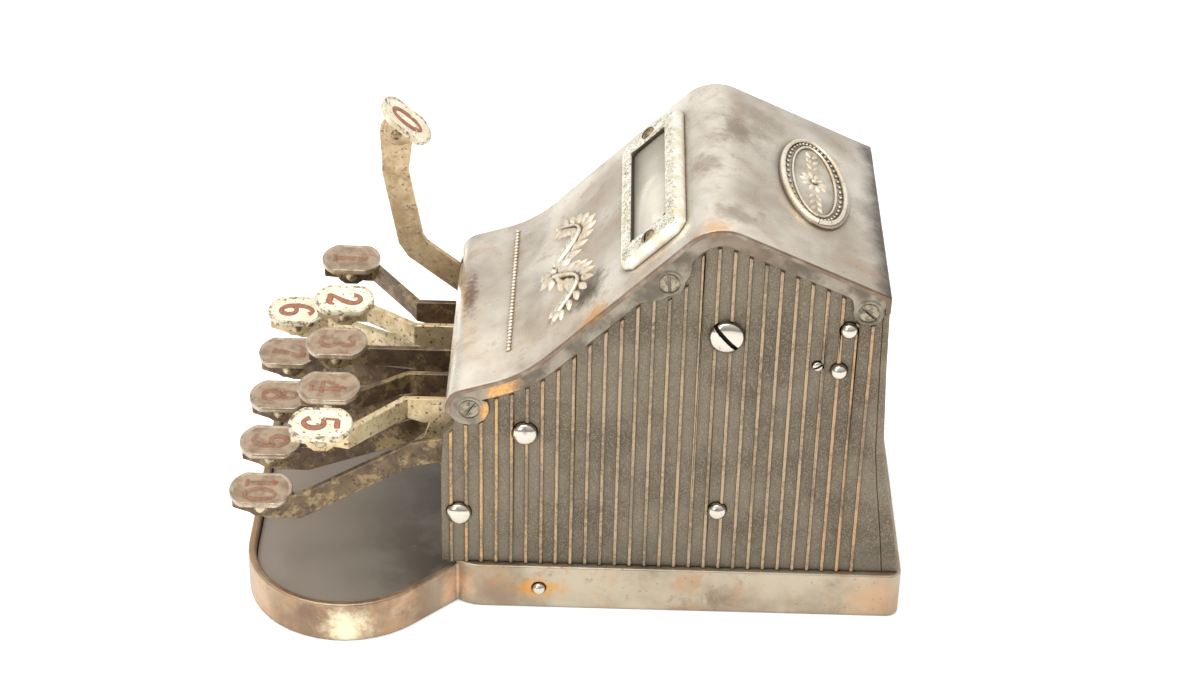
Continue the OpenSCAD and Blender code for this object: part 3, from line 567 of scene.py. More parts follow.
def spun(profile, steps=32):  # turned about X; the profile gives x and radius
    bm = bmesh.new()
    verts, edges = chain(bm, [(x, 0, r) for x, r in profile])
    bmesh.ops.spin(bm, geom=verts + edges, cent=(0, 0, 0), axis=(1, 0, 0), angle=2 * pi, steps=steps,
                   use_merge=True)
    bmesh.ops.remove_doubles(bm, verts=bm.verts, dist=0.0005)
    outward(bm)
    return bm


def domeLine(start, top, radius, steps=7):
    turns = [i * pi / 2 / steps for i in range(steps + 1)]
    return [(start + (top - start) * sin(a), radius * cos(a)) for a in turns]


def mirrored(bm):  # the same shape on the other side
    bmesh.ops.scale(bm, vec=(-1, 1, 1), verts=bm.verts)
    bmesh.ops.reverse_faces(bm, faces=bm.faces)
    return bm


# castings, plates and levers: finish, rounding in millimetres, segments
paleKeys = (0, 2, 5, 6)
softened = {"base_casting": ("base", 0.6, 3), "right_side_wall": ("wall", 0.3, 2),
            "left_side_wall": ("wall", 0.3, 2), "rear_wall": ("wall", 0.3, 2),
            "zero_lever": ("leverZero", 0.28, 2), "apron_mat": ("mat", 0.2, 2)}
for n in range(1, 11):
    softened[f"key_lever_{n}"] = ("leverPale" if n in paleKeys else "leverDark", 0.28, 2)
for node, (key, width, segments) in softened.items():
    roundEdges(standIn(node, "_soft", weldedCopy(node), [key]), width, segments)
print("softened:", len(softened))

# inner works keep their solids
plain = {"bright": ["wheel_shaft"], "gearBrass": ["idler_gear", "drive_pinion"],
         "drum": ["units_wheel", "tens_wheel", "hundreds_wheel"],
         "plainSteel": ["front_comb", "reset_comb", "tens_carry", "hundreds_carry", "detent_springs",
                        "drive_frame", "idler_stud", "key_spacers", "wheel_spacer", "key_springs"]}
for key, names in plain.items():
    for node in names:
        nodes[node].data.materials.clear()
        nodes[node].data.materials.append(finishes[key])

# rods and pins with round heads outside the walls
rodHeads = {"rods": ["key_shaft", "up_stop_rod", "down_stop_rod", "lift_rod", "hold_rod"],
            "start": 34.95, "top": 36.4, "pinStart": 36.2, "pinTop": 37.3, "pinInner": 30.2}
for node in rodHeads["rods"] + ["base_pins"]:
    low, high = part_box(node)
    radius = (high.z - low.z) / 2 / mm
    if node == "base_pins":
        inner = rodHeads["pinInner"]
        profile = [(inner, 0), (inner, radius)] + domeLine(rodHeads["pinStart"], rodHeads["pinTop"], radius)
    else:
        profile = [(0, radius)] + domeLine(rodHeads["start"], rodHeads["top"], radius)
    rod = spun(profile)
    joinInto(rod, mirrored(spun(profile)))
    bmesh.ops.remove_doubles(rod, verts=rod.verts, dist=0.0005)
    middle = shift(0, (low.y + high.y) / 2 / mm, (low.z + high.z) / 2 / mm)
    standIn(node, "_round", moved(rod, metres @ middle), ["bright"])


def slottedHead(seat, top, radius, crown, slot, deep, turn):  # faces +X, slot turned by degrees
    bm = spun([(seat, 0), (seat, radius)] + domeLine(top - crown, top, radius))
    for z in (-slot / 2, slot / 2):
        bisect(bm, (0, 0, z), (0, 0, 1))
    floor = [f for f in bm.faces if abs(f.calc_center_median().z) < slot / 2 and f.normal.x > 0.2]
    pull(bm, floor, (-deep, 0, 0))
    bmesh.ops.delete(bm, geom=[f for f in floor if f.is_valid], context="FACES")
    for face in bm.faces:  # dirt and painted shade in the slot
        if abs(face.calc_center_median().z) < slot / 2 + 0.001 and face.normal.x > -0.5:
            face.material_index = 1
    return moved(bm, turnBy(turn, "X"))


# head: seat and top across the machine, radius, crown, slot width and depth; places: y, z and turn
screws = {"cover_screws": {"finish": "screw", "head": (34.9, 35.5, 2.3, 0.22, 0.62, 0.42),
                           "places": [(-50.07, 57.9, 60), (-4.55, 93.9, 96), (41.2, 87.4, -42)]},
          "wheel_screws": {"finish": "bright", "head": (34.2, 36.4, 4.0, 1.3, 0.95, 1.0),
                           "places": [(9.15, 79.5, -48)]},
          "adjust_screws": {"finish": "bright", "head": (34.2, 35.2, 1.2, 0.5, 0.4, 0.5),
                            "places": [(30.5, 72, 30)]}}
for node, screw in screws.items():
    heads = bmesh.new()
    for y, z, turn in screw["places"]:
        for side in (1, -1):
            head = moved(slottedHead(*screw["head"], turn), shift(0, y, z))
            joinInto(heads, head if side > 0 else mirrored(head))
    roundEdges(standIn(node, "_heads", moved(heads, metres), [screw["finish"], "slotDirtAndShade"]), 0.06, 1)
print("rods and screws:", len(rodHeads["rods"]) + 1 + len(screws))

# cover: a sheet bent to the side view, with a flange and screw lobes down each side
cover = {"half": 35.4, "thick": 1.4, "edge": 0.45, "lip": 4.7, "bendSteps": 16,
         "nose": (-50.07, 57.9), "noseRound": 5.7, "noseStart": 200, "foot": 18, "hollowRound": 30,
         "slope": 45, "slopeAt": (-24.6, 80.9), "ridgeRound": 10.7,
         "rear": -24.25, "rearAt": (29.7, 99.1), "rearEnd": 46.2,
         "flange": 4.3, "plateIn": 34.4, "plateOut": 35.14, "plateEdge": 0.2, "tuck": 0.8, "step": 0.6,
         "bareFrom": 12.6, "lobeRound": 4.6, "lobeFrom": 24, "lobeSteps": 24, "lobeEase": 0.6,
         "lobes": [((-4.55, 93.9), 7.5, 7.2, 3.3), ((41.2, 87.4), 3.9, 4.5, 5.2)],
         "cup": 2.62, "cupWall": 0.45, "cupFoot": 0.5,
         "windowHalf": (21.2, 5.7), "windowAt": (-7.7, 97.8),
         "notchX": -27, "notchHalf": 1.2, "notchTop": 60.8,
         "boss": (19.7, 9.3, 0.7), "bossX": -2.3, "bossEdge": 0.3}


def heading(degrees):
    return Vector((cos(radians(degrees)), sin(radians(degrees))))


def crossing(p, a, q, b):  # where two lines meet, each a point and a heading
    return p + heading(a) * ((q - p).cross(heading(b)) / heading(a).cross(heading(b)))


def sideView():  # points and outward directions, from under the nose to the rear edge
    c = cover
    nose, slopeAt, rearAt = Vector(c["nose"]), Vector(c["slopeAt"]), Vector(c["rearAt"])
    foot, slope, rear = c["foot"], c["slope"], c["rear"]
    footAt = nose + heading(foot + 90) * c["noseRound"]
    hollow = crossing(footAt + heading(foot + 90) * c["hollowRound"], foot,
                      slopeAt + heading(slope + 90) * c["hollowRound"], slope)
    ridge = crossing(slopeAt - heading(slope + 90) * c["ridgeRound"], slope,
                     rearAt - heading(rear + 90) * c["ridgeRound"], rear)
    bends = [(nose, c["noseRound"], c["noseStart"], 90 + foot, 1),
             (hollow, c["hollowRound"], 270 + foot, 270 + slope, -1),
             (ridge, c["ridgeRound"], 90 + slope, 90 + rear, 1)]
    line = []
    for middle, radius, start, stop, way in bends:
        for i in range(c["bendSteps"] + 1):
            out = heading(start + (stop - start) * i / c["bendSteps"])
            line.append((middle + out * radius, out * way))
    reach = (c["rearEnd"] - rearAt.x) / heading(rear).x
    line.append((rearAt + heading(rear) * reach, heading(rear + 90)))
    return line


def coverSheet():
    c = cover
    bm = bmesh.new()
    line = [p for p, out in sideView()]
    line.append(line[-1] - Vector((0, c["lip"])))
    verts, edges = chain(bm, [(-c["half"], p.x, p.y) for p in line])
    bmesh.ops.translate(bm, vec=(2 * c["half"], 0, 0),
                        verts=newVerts(bmesh.ops.extrude_edge_only(bm, edges=edges)))
    outward(bm)
    if sum(f.normal.z for f in bm.faces) < 0:
        bmesh.ops.reverse_faces(bm, faces=bm.faces)
    halfLong, halfWide = c["windowHalf"]
    middle = Vector((0, *c["windowAt"]))
    up = Vector((0, *heading(c["slope"])))
    across = Vector((1, 0, 0))
    cuts = [(across * s * halfLong, across) for s in (-1, 1)]
    cuts += [(middle + up * s * halfWide, up) for s in (-1, 1)]
    cuts += [(across * (c["notchX"] + s * c["notchHalf"]), across) for s in (-1, 1)]
    cuts.append((Vector((0, 0, c["notchTop"])), Vector((0, 0, 1))))
    for point, normal in cuts:
        bisect(bm, point, normal)
    gone = []
    for face in bm.faces:
        at = face.calc_center_median()
        off = at - middle
        inWindow = abs(at.x) < halfLong and abs(off.dot(up)) < halfWide and abs(off.dot(face.normal)) < 1
        inNotch = abs(at.x - c["notchX"]) < c["notchHalf"] and at.z < c["notchTop"]
        if inWindow or inNotch:
            gone.append(face)
    bmesh.ops.delete(bm, geom=gone, context="FACES")
    bmesh.ops.solidify(bm, geom=bm.faces[:], thickness=c["thick"])
    ease(bm, sharpEdges(bm, 0.9), c["edge"], 3)
    return bm


def coverPlate():  # one flange, drawn in the side view
    c = cover
    line = sideView()
    filled = [line[0]]
    for (p, out), (q, outNext) in zip(line, line[1:]):
        count = max(1, round((q - p).length / c["step"]))
        filled += [(p.lerp(q, i / count), out.lerp(outNext, i / count).normalized())
                   for i in range(1, count + 1)]
    walked = [0.0]
    for (p, out), (q, outNext) in zip(filled, filled[1:]):
        walked.append(walked[-1] + (q - p).length)
    depths = [c["flange"]] * len(filled)
    for spot, behind, ahead, drop in c["lobes"]:
        nearest = min(range(len(filled)), key=lambda i: (filled[i][0] - Vector(spot)).length)
        for i, far in enumerate(walked):
            t = (far - walked[nearest]) / (ahead if far > walked[nearest] else behind)
            if abs(t) < 1:
                depths[i] = c["flange"] + drop * sqrt(1 - t * t)
    for turn in range(3):  # ease the corners beside the lobes
        eased = [(a + b + d) / 3 for a, b, d in zip(depths, depths[1:], depths[2:])]
        depths = [depths[0]] + eased + [depths[-1]]
    outline = [p - out * c["tuck"] for p, out in filled]
    bare = [(p, out, deep) for (p, out), deep, far in zip(filled, depths, walked) if far > c["bareFrom"]]
    outline += [p - out * deep for p, out, deep in reversed(bare)]
    widen = c["noseRound"] - c["tuck"] - c["lobeRound"]
    for i in range(c["lobeSteps"] + 1):
        t = i / c["lobeSteps"]
        turn = c["lobeFrom"] - (360 + c["lobeFrom"] - c["noseStart"]) * t
        wide = c["lobeRound"] + widen * max(0, t - c["lobeEase"]) / (1 - c["lobeEase"])
        outline.append(Vector(c["nose"]) + heading(turn) * wide)
    bm = slab([(c["plateIn"], p.x, p.y) for p in outline], (c["plateOut"] - c["plateIn"], 0, 0))
    bmesh.ops.remove_doubles(bm, verts=bm.verts, dist=0.05)
    outward(bm)
    ease(bm, [e for e in bm.edges if all(v.co.x > c["plateOut"] - 0.01 for v in e.verts)], c["plateEdge"])
    inner, high, floor = c["cup"], c["half"] - 0.02, c["plateOut"]
    outer = inner + c["cupWall"]
    for spot in [c["nose"]] + [lobe[0] for lobe in c["lobes"]]:  # a low cup round each screw
        cup = spun([(floor - 0.3, inner), (high - 0.08, inner), (high, inner + 0.1), (high, outer),
                    (floor - 0.1, outer + c["cupFoot"])], 40)
        joinInto(bm, moved(cup, shift(0, *spot)))
    for face in bm.faces:
        face.material_index = 1
    return bm


def bossPlate():
    wide, deep, rise = cover["boss"]
    bm = bmesh.new()
    bmesh.ops.create_circle(bm, cap_ends=True, segments=56, radius=1)
    moved(bm, stretch(wide, deep, 1))
    pull(bm, bm.faces[:], (0, 0, rise))
    outward(bm)
    ease(bm, [e for e in bm.edges if all(v.co.z > rise - 0.01 for v in e.verts)], cover["bossEdge"])
    return moved(bm, shift(cover["bossX"], *cover["rearAt"]) @ turnBy(cover["rear"], "X"))


shell = coverSheet()
joinInto(shell, coverPlate())
joinInto(shell, mirrored(coverPlate()))
joinInto(shell, bossPlate())
for edge in shell.edges:
    edge.smooth = len(edge.link_faces) != 2 or edge.calc_face_angle() < 0.7
standIn("top_cover", "_shell", moved(shell, metres), ["cover", "band"])

# window frame: rings from the foot outside to the foot inside, length, width, corner and height
bezel = {"rings": [(56, 19, 2.4, 0), (56, 19, 2.4, 1.2), (54.8, 17.8, 2.2, 2.35), (53.2, 16.2, 2.0, 2.8),
                   (43.4, 12.4, 1.7, 2.8), (42.6, 11.6, 1.5, 2.9), (41.8, 10.8, 1.2, 2.65),
                   (41.8, 10.8, 1.2, 0)], "edge": 0.12,
         "screwX": 24.45, "screwHead": (1.6, 3.55, 2.0, 0.8, 0.55, 0.6), "screwTurns": {1: 70, -1: 20},
         "glass": (44.5, 12.9, 1.1), "glassMiddle": -0.6,
         "pane": (20.85, 5.35, 1.15), "paneFoot": -0.5, "paneTop": 1.75}
slopeFrame = shift(0, *cover["windowAt"]) @ turnBy(cover["slope"], "X")


def cutCorners(a, b, corner, z):  # half length, half width
    flat = [(a - corner, -b), (a, corner - b), (a, b - corner), (a - corner, b),
            (corner - a, b), (-a, b - corner), (-a, corner - b), (corner - a, -b)]
    return [(x, y, z) for x, y in flat]


surround = bmesh.new()
loops = []
for length, width, corner, height in bezel["rings"]:
    loops.append(chain(surround, cutCorners(length / 2, width / 2, corner, height), True)[1])
for first, second in zip(loops, loops[1:] + loops[:1]):
    bmesh.ops.bridge_loops(surround, edges=first + second)
outward(surround)
ease(surround, sharpEdges(surround, 0.3), bezel["edge"])
standIn("window_bezel", "_frame", moved(surround, metres @ slopeFrame), ["bezel"])
heads = bmesh.new()
for side, turn in bezel["screwTurns"].items():
    head = slottedHead(*bezel["screwHead"], turn)
    joinInto(heads, moved(head, slopeFrame @ shift(side * bezel["screwX"], 0) @ turnBy(-90, "Y")))
roundEdges(standIn("bezel_screws", "_heads", moved(heads, metres), ["leverDark", "slotDirtAndShade"]), 0.05, 1)
pane = bmesh.new()
bmesh.ops.create_cube(pane, size=1)
moved(pane, shift(0, 0, bezel["glassMiddle"]) @ stretch(*bezel["glass"]))
foot = bezel["paneFoot"]
joinInto(pane, slab(cutCorners(*bezel["pane"], foot), (0, 0, bezel["paneTop"] - foot)))
standIn("window_glass", "_pane", moved(pane, metres @ slopeFrame), ["glass"])
print("cover and window frame: 4")

# digits drawn with a pen: points are x, y and half the line's width, in a box 1 wide and 1.4 high
penDigits = {
    "0": [[(0, .7, .06), (.3, .56, .1), (.41, 0, .14), (.3, -.56, .1), (0, -.7, .06), (-.3, -.56, .1),
           (-.41, 0, .14), (-.3, .56, .1), (0, .7, .06)]],
    "1": [[(-.26, .44, .05), (-.1, .52, .07), (.02, .66, .1)],
          [(.02, .66, .12), (.02, 0, .13), (.02, -.64, .12)], [(-.26, -.66, .06), (.3, -.66, .06)]],
    "2": [[(-.28, .36, .14), (-.3, .54, .07), (-.06, .69, .07), (.26, .58, .11), (.32, .3, .14),
           (.12, -.06, .11), (-.2, -.4, .08), (-.36, -.62, .07)],
          [(-.36, -.6, .08), (-.1, -.54, .11), (.16, -.63, .12), (.36, -.56, .08), (.4, -.36, .05)]],
    "3": [[(-.28, .42, .13), (-.24, .6, .07), (.02, .69, .07), (.28, .54, .12), (.26, .22, .1),
           (0, .07, .06)],
          [(0, .07, .06), (.3, -.08, .1), (.36, -.38, .14), (.1, -.68, .08), (-.2, -.64, .07),
           (-.32, -.42, .13)]],
    "4": [[(.12, .68, .07), (-.14, .22, .07), (-.4, -.22, .07)], [(-.4, -.25, .07), (.42, -.25, .07)],
          [(.14, .66, .1), (.14, 0, .13), (.14, -.64, .12)], [(-.08, -.67, .06), (.36, -.67, .06)]],
    "5": [[(-.25, .64, .07), (.04, .6, .11), (.32, .66, .08)],
          [(-.25, .66, .06), (-.28, .36, .06), (-.3, .08, .06)],
          [(-.3, .06, .06), (0, .2, .08), (.32, .02, .13), (.33, -.36, .14), (.05, -.67, .08),
           (-.22, -.62, .07), (-.32, -.4, .13)]],
    "6": [[(.27, .5, .13), (.2, .66, .07), (-.02, .69, .07), (-.3, .4, .11), (-.37, -.1, .14),
           (-.28, -.52, .11), (0, -.69, .07), (.3, -.52, .12), (.33, -.2, .13), (.1, .05, .07),
           (-.2, -.04, .07), (-.34, -.22, .08)]],
    "7": [[(-.36, .4, .06), (-.34, .6, .1), (0, .62, .1), (.36, .62, .07)],
          [(.36, .6, .07), (.08, .05, .11), (-.04, -.64, .14)]],
    "8": [[(0, .69, .06), (.26, .5, .1), (.2, .2, .1), (0, .06, .11), (-.28, -.2, .11), (-.3, -.48, .11),
           (0, -.69, .06), (.32, -.5, .11), (.3, -.2, .11), (0, .06, .09), (-.24, .25, .1), (-.24, .5, .1),
           (0, .69, .06)]],
}
penDigits["9"] = [[(-x, -y, w) for x, y, w in line] for line in penDigits["6"]]


def penMesh(lines, size, rise, bold=1.0):  # tubes along the lines, pressed flat to the rise given
    curve = bpy.data.curves.new("pen", "CURVE")
    curve.dimensions = "3D"
    curve.bevel_depth = 1.0
    curve.bevel_resolution = 1
    curve.resolution_u = 4
    curve.use_fill_caps = True
    for line in lines:
        spline = curve.splines.new("NURBS")
        spline.points.add(len(line) - 1)
        for point, (x, y, w) in zip(spline.points, line):
            point.co = (x, y, 0, 1)
            point.radius = w * bold
        spline.order_u = min(4, len(line))
        spline.use_endpoint_u = True
    drawn = intoScene("pen", curve)
    bpy.context.view_layer.update()
    made = bpy.data.meshes.new_from_object(drawn.evaluated_get(bpy.context.evaluated_depsgraph_get()))
    bpy.data.objects.remove(drawn)
    bpy.data.curves.remove(curve)
    bm = bmesh.new()
    bm.from_mesh(made)
    bpy.data.meshes.remove(made)
    high = max(v.co.z for v in bm.verts)
    return moved(bm, stretch(size, size, rise / high))


# key tops: plate with a rim, bent tab and rivet
keyTop = {"length": 15, "width": 12.4, "thick": 1.5, "rim": 0.9, "dish": 0.3, "edge": 0.3, "lever": 1.6,
          "tab": 1.4, "tabEdge": 0.2,
          "tabLine": [(-5, 0.1), (-5, -0.2), (-3, -4.2), (-1.5, -5.3), (1.5, -5.3), (3, -4.2), (5, -0.2),
                      (5, 0.1)],
          "rivet": 1.4, "rivetDrop": 2.9, "rivetHead": 0.75, "rivetTail": 0.4,
          "zeroAt": (-27, -69.2, 99.4), "zeroTilt": -40,
          "digit": 6.3, "pairDigit": 5.4, "pairStep": 4.6, "digitRise": 0.1, "digitBold": 1.3}


def keyTopMesh():
    k = keyTop
    bm = bmesh.new()
    bmesh.ops.create_circle(bm, cap_ends=True, segments=64, radius=k["length"] / 2)
    for v in bm.verts:
        v.co.x = max(-k["width"] / 2, min(k["width"] / 2, v.co.x))
    pull(bm, bm.faces[:], (0, 0, k["thick"]))
    outward(bm)
    top = [f for f in bm.faces if f.normal.z > 0.9]
    bmesh.ops.inset_region(bm, faces=top, thickness=k["rim"], depth=-k["dish"])
    ease(bm, [e for e in sharpEdges(bm, 0.25) if abs((e.verts[0].co - e.verts[1].co).z) < 0.01], k["edge"])
    for face in bm.faces:  # the rim and the side get a finish of their own, on the dark keys lighter as a painted rim highlight
        floor = face.normal.z > 0.9 and face.calc_center_median().z < k["thick"] - k["dish"] + 0.02
        face.material_index = 0 if floor or face.normal.z < -0.9 else 3
    tab = slab([(k["lever"] / 2, y, z) for y, z in k["tabLine"]], (k["tab"], 0, 0))
    ease(tab, tab.edges[:], k["tabEdge"])
    rivets = []
    for x, flat in ((k["lever"] / 2 + k["tab"] - 0.1, k["rivetHead"]), (-k["lever"] / 2, k["rivetTail"])):
        grown = bmesh.ops.create_uvsphere(tab, u_segments=18, v_segments=10, radius=k["rivet"])["verts"]
        moved(tab, shift(x, 0, -k["rivetDrop"]) @ stretch(flat, 1, 1), grown)
        rivets += grown
    for face in tab.faces:
        face.material_index = 2 if all(v in rivets for v in face.verts) else 1
    joinInto(bm, tab)
    return bm


def keyPlace(n):
    if n == 0:
        return shift(*keyTop["zeroAt"]) @ turnBy(keyTop["zeroTilt"], "X")
    low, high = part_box(f"key_top_{n}")
    return shift((low.x + high.x) / 2 / mm, (low.y + high.y) / 2 / mm, high.z / mm - keyTop["thick"])


for n in range(11):
    node = f"key_top_{n}" if n else "zero_top"
    pale = n in paleKeys
    place = metres @ keyPlace(n)
    lever = softened[f"key_lever_{n}" if n else "zero_lever"][0]
    enamel = "keyPale" if pale else "keyDark"
    standIn(node, "_plate", moved(keyTopMesh(), place), [enamel, lever, "rivetBrass", enamel + "Rim"])
    number = bmesh.new()
    for i, digit in enumerate(str(n)):
        size = keyTop["digit"] if n < 10 else keyTop["pairDigit"]
        drawn = penMesh(penDigits[digit], size, keyTop["digitRise"], keyTop["digitBold"])
        joinInto(number, moved(drawn, shift((i - (len(str(n)) - 1) / 2) * keyTop["pairStep"], 0)))
    moved(number, place @ shift(0, 0, keyTop["thick"] - keyTop["dish"]))
    addPiece(f"digit_{n}", number, bodyOf[node], ["digit" if pale else "digitFaded"])
print("key tops and digits: 11")

# digits round each number drum, the nought under the window
drum = {"radius": 21.6, "axisY": 9.15, "axisZ": 79.5, "pitch": 13, "window": 138.8,
        "height": 4.6, "rise": 0.06}
for wheel, step in (("units", 1), ("tens", 0), ("hundreds", -1)):
    ring = bmesh.new()
    for digit in range(10):
        drawn = penMesh(penDigits[str(digit)], drum["height"], drum["rise"])
        for v in drawn.verts:  # wrap on the drum
            turn = radians(drum["window"] - 36 * digit) - v.co.y / drum["radius"]
            far = drum["radius"] + v.co.z
            v.co = Vector((v.co.x + step * drum["pitch"], drum["axisY"] + far * cos(turn),
                           drum["axisZ"] + far * sin(turn)))
        joinInto(ring, drawn)
    addPiece(f"{wheel}_digits", moved(ring, metres), wheel, ["drumDigit"])
print("drum digits: 30")

# raised ornaments are drawn flat, then laid on the cover from above
coverShape = bmesh.new()
coverShape.from_mesh(nodes["top_cover"].data)
coverTree = BVHTree.FromBMesh(coverShape)
coverShape.free()


def layOnCover(bm):
    for v in bm.verts:
        above = Vector((v.co.x * mm, v.co.y * mm, 0.3))  # well over the ridge
        spot, normal, face, far = coverTree.ray_cast(above, Vector((0, 0, -1)))
        v.co = spot + normal * (v.co.z * mm)


# a pointed leaf, raised in the middle, its edge sunk a little
leafShape = {"sides": 12, "sink": -0.15, "tip": 0.35}


def addLeaf(bm, x, y, angle, length, width, rise, squeeze=1.0):  # stem end at x, y
    edge = bmesh.ops.create_circle(bm, cap_ends=True, segments=leafShape["sides"], radius=1)["verts"]
    made = edge + bmesh.ops.poke(bm, faces=edge[0].link_faces[:])["verts"]
    for v in made:
        along = (v.co.x + 1) / 2
        full = sin(pi * min(1, along * 0.9 + 0.1))
        wide = leafShape["tip"] + (1 - leafShape["tip"]) * full
        v.co = Vector((along * length, v.co.y * wide * width / 2, leafShape["sink"] if v in edge else rise))
    moved(bm, shift(x, y) @ stretch(1, squeeze, 1) @ Matrix.Rotation(angle, 4, "Z"), made)


def addBead(bm, x, y, radius, rise, squeeze=1.0):
    made = bmesh.ops.create_icosphere(bm, subdivisions=1, radius=radius)["verts"]
    moved(bm, shift(x, y) @ stretch(1, squeeze, rise / radius), made)


def sided(angle, side):  # the same lean on the left and on the right
    return angle if side > 0 else pi - angle


def roundTurn(count, start=0.0):
    return [(i + start) * 2 * pi / count for i in range(count)]


# leaf spray and beaded line on the front slope
spray = {"x": 1.5, "y": -29.5, "squeeze": 0.72, "rise": 1.3, "start": 2.2, "reach": 17, "swing": 8,
         "drop": 2, "turns": 2.9, "pairs": 9, "leaf": 7.6, "leafWide": 3.1, "lean": 0.8, "shrink": 0.35,
         "stem": 0.55, "stemThin": 0.02, "stemSteps": 9, "stemRise": 1.25,
         "petals": 8, "petal": 6.0, "petalWide": 2.9, "petalRise": 1.6, "eye": 1.3, "eyeRise": 2.0,
         "beadX": -3.5, "beadY": -41.3, "beads": 37, "beadStep": 1.5, "bead": 0.68, "beadRise": 0.85,
         "beadSqueeze": 0.9}


def branchAt(t):  # place and heading on one branch, in the slope's own plane
    wave = spray["turns"] * t
    turn = atan2(spray["swing"] * spray["turns"] * cos(wave), spray["reach"])
    return spray["start"] + spray["reach"] * t, spray["swing"] * sin(wave) - spray["drop"], turn


def leafSpray():
    s = spray
    bm = bmesh.new()
    for side in (-1, 1):
        for i in range(s["pairs"]):
            t = (i + 0.6) / s["pairs"]
            x, y, turn = branchAt(t)
            small = 1 - s["shrink"] * t
            tip = [0.0] if i == s["pairs"] - 1 else []
            for lean in tip + [s["lean"], -s["lean"]]:
                addLeaf(bm, s["x"] + side * x, s["y"] + s["squeeze"] * y, sided(turn + lean, side),
                        s["leaf"] * small, s["leafWide"] * small, s["rise"], s["squeeze"])
        stem = []
        for i in range(s["stemSteps"] + 1):
            x, y, turn = branchAt(i / s["stemSteps"])
            stem.append((side * x, y, s["stem"] - s["stemThin"] * i))
        grown = penMesh([stem], 1.0, s["stemRise"])
        joinInto(bm, moved(grown, shift(s["x"], s["y"]) @ stretch(1, s["squeeze"], 1)))
    low = s["y"] - s["drop"] * s["squeeze"]
    for angle in roundTurn(s["petals"], 0.5):
        addLeaf(bm, s["x"], low, angle, s["petal"], s["petalWide"], s["petalRise"], s["squeeze"])
    addBead(bm, s["x"], low, s["eye"], s["eyeRise"], s["squeeze"])
    for i in range(s["beads"]):
        x = s["beadX"] + (i - (s["beads"] - 1) / 2) * s["beadStep"]
        addBead(bm, x, s["beadY"], s["bead"], s["beadRise"], s["beadSqueeze"])
    layOnCover(bm)
    return bm


addPiece("slope_ornament", leafSpray(), "frame", ["relief"])

# rim, beads and rosette on the oval boss; rims: inset, half the line's width, rise
oval = {"x": cover["bossX"], "y": cover["rearAt"][0], "long": cover["boss"][0], "wide": cover["boss"][1],
        "squeeze": 0.912, "rims": [(1.0, 0.6, 0.8), (3.6, 0.32, 0.5)], "rimSteps": 36,
        "beads": 44, "beadInset": 2.3, "bead": 0.52, "beadRise": 0.55,
        "petals": 10, "petalAt": (1.2, 0.8), "petal": (3.4, 1.9, 0.75), "eye": 1.1, "eyeRise": 0.8,
        "leafAt": (5.6, 8.4, 11.2), "leafLean": 0.6, "leaf": (3.1, 1.5, 0.7)}


def ovalRosette():
    o = oval
    bm = bmesh.new()
    for inset, line, rise in o["rims"]:
        turns = [i * 2 * pi / o["rimSteps"] for i in range(o["rimSteps"] + 1)]
        ring = [((o["long"] - inset) * cos(a), (o["wide"] - inset) * sin(a), line) for a in turns]
        drawn = penMesh([ring], 1.0, rise)
        joinInto(bm, moved(drawn, shift(o["x"], o["y"]) @ stretch(1, o["squeeze"], 1)))
    long, wide = o["long"] - o["beadInset"], o["wide"] - o["beadInset"]
    for a in roundTurn(o["beads"]):
        addBead(bm, o["x"] + long * cos(a), o["y"] + o["squeeze"] * wide * sin(a),
                o["bead"], o["beadRise"], o["squeeze"])
    across, along = o["petalAt"]
    for a in roundTurn(o["petals"], 0.5):
        addLeaf(bm, o["x"] + across * cos(a), o["y"] + along * sin(a), a, *o["petal"],
                o["squeeze"])
    for side in (-1, 1):
        for x in o["leafAt"]:
            for lean in (o["leafLean"], -o["leafLean"]):
                addLeaf(bm, o["x"] + side * x, o["y"], sided(lean, side), *o["leaf"], o["squeeze"])
    addBead(bm, o["x"], o["y"], o["eye"], o["eyeRise"], o["squeeze"])
    layOnCover(bm)
    return bm


addPiece("oval_ornament", ovalRosette(), "frame", ["relief"])

# leaf border round the window; leaves: length, width and rise
border = {"halfLong": 23.6, "halfWide": 7.1, "top": 2.78, "step": 2.3, "endGap": 3,
          "leaf": (2.5, 1.2, 0.32), "lean": 0.75, "bead": (0.36, 0.26), "beadOff": (0.3, 0.9),
          "endLeaf": (2.4, 1.2, 0.32), "endLean": 0.6, "endOut": 1.2, "screwRoom": 2.4,
          "cornerLeaf": (3.2, 1.4, 0.32), "cornerIn": (3.4, 1.6)}


def leafBorder():
    b = border
    bm = bmesh.new()
    count = int(2 * (b["halfLong"] - b["endGap"]) / b["step"])
    back, off = b["beadOff"]
    for side in (-1, 1):
        for i in range(count + 1):
            x, y = (i - count / 2) * b["step"], side * b["halfWide"]
            way = 1 if i % 2 else -1
            addLeaf(bm, x, y, way * b["lean"], *b["leaf"])
            addBead(bm, x - back, y - off * way, *b["bead"])
        for i in range(-2, 3):
            if abs(i * b["step"]) > b["screwRoom"]:
                for lean in (b["endLean"], -b["endLean"]):
                    addLeaf(bm, side * (b["halfLong"] + b["endOut"]), i * b["step"], pi / 2 + lean,
                            *b["endLeaf"])
        for i in (-1, 1):
            addLeaf(bm, side * (b["halfLong"] - b["cornerIn"][0]), i * (b["halfWide"] - b["cornerIn"][1]),
                    atan2(i, side), *b["cornerLeaf"])
    return moved(bm, metres @ slopeFrame @ shift(0, 0, b["top"]))


addPiece("bezel_vine", leafBorder(), "frame", ["bezelLeaf"])
print("ornaments: 3")

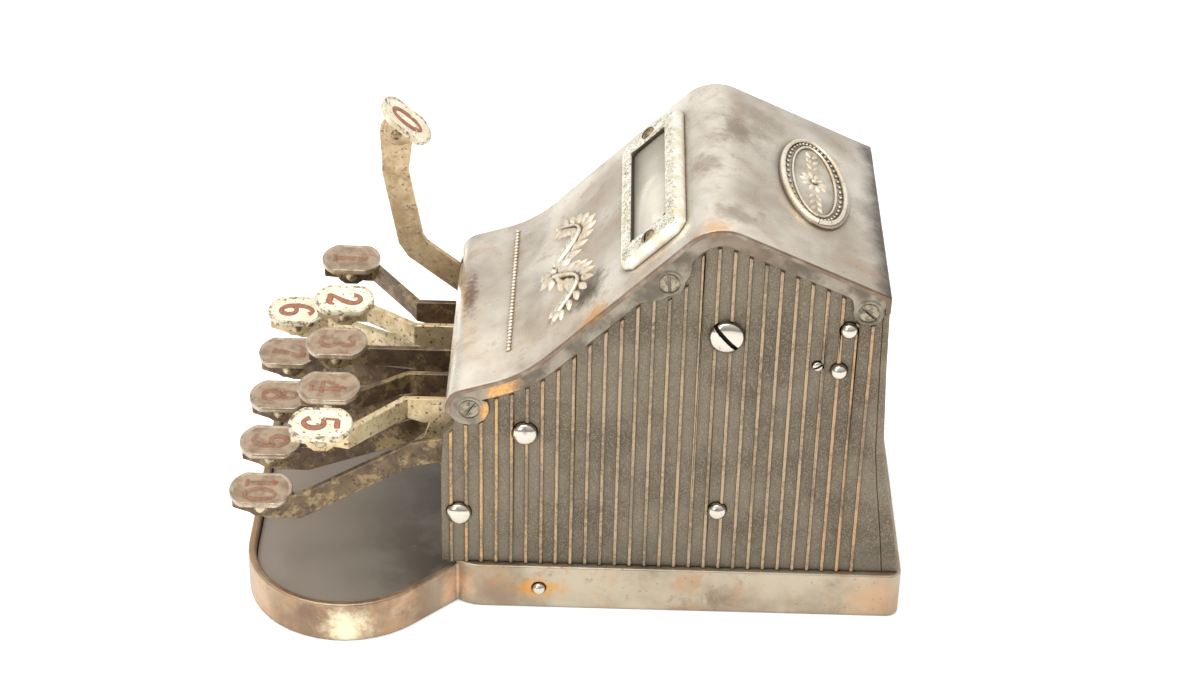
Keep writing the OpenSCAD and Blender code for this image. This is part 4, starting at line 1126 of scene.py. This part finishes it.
# floor, light and camera
studio = {"floorSize": 6.0, "floorGlow": 0.35, "horizon": 0.35, "zenith": 1.1, "key": 5.0, "fill": 1.5}
ground = bmesh.new()
bmesh.ops.create_grid(ground, x_segments=1, y_segments=1, size=studio["floorSize"])
floor = intoScene("floor", meshFrom(ground, "floor"))
glow = {"Emission Color": (1, 1, 1, 1), "Emission Strength": studio["floorGlow"]}
floor.data.materials.append(Finish("paper").finish(tone(250, 250, 250), 0.0, 0.9, **glow))

sky = bpy.data.worlds.new("studioSky")
sky.use_nodes = True
dome = Nodes(sky.node_tree)
aim = dome.node("ShaderNodeTexCoord", out="Generated")
height = dome.node("ShaderNodeSeparateXYZ", None, {0: aim}, "Z")
fade = dome.node("ShaderNodeMapRange", None,
                 {"Value": height, "To Min": studio["horizon"], "To Max": studio["zenith"]})
dome.feed(dome.tree.nodes["Background"], {"Color": (1, 1, 1, 1), "Strength": fade})
bpy.context.scene.world = sky


def softbox(name, place, aim, size, power):
    light = bpy.data.lights.new(name, "AREA")
    light.shape = "RECTANGLE"
    light.size, light.size_y = size
    light.energy = power
    lamp = intoScene(name, light)
    lamp.location = place
    lamp.rotation_mode = "QUATERNION"
    lamp.rotation_quaternion = (Vector(aim) - Vector(place)).to_track_quat("-Z", "Y")


softbox("topBox", (0.1, -0.25, 0.9), (0, 0, 0.05), (0.7, 0.7), studio["key"])
softbox("sideBox", (0.8, -0.6, 0.5), (0, 0, 0.05), (0.5, 0.5), studio["fill"])

# fitted to the photograph: place in millimetres, looking along -X and down, turned a little
view = {"place": (559.91, -19.94, 419.51), "lens": 81.78, "down": 33.0, "roll": 1.555}
camera = bpy.data.cameras.new("camera")
camera.lens = view["lens"]
camera.sensor_width = 36
camera.clip_start, camera.clip_end = 0.01, 20
eye = intoScene("camera", camera)
down, roll = radians(view["down"]), radians(view["roll"])
level = Vector((0, 1, 0))
tilted = Vector((-sin(down), 0, cos(down)))
right = level * cos(roll) + tilted * sin(roll)
up = tilted * cos(roll) - level * sin(roll)
facing = Matrix((right, up, right.cross(up))).transposed().to_4x4()
eye.matrix_world = Matrix.Translation(Vector(view["place"]) * mm) @ facing
bpy.context.scene.camera = eye
bpy.context.scene.view_settings.view_transform = "Standard"
print("stage set")

bpy.context.view_layer.update()
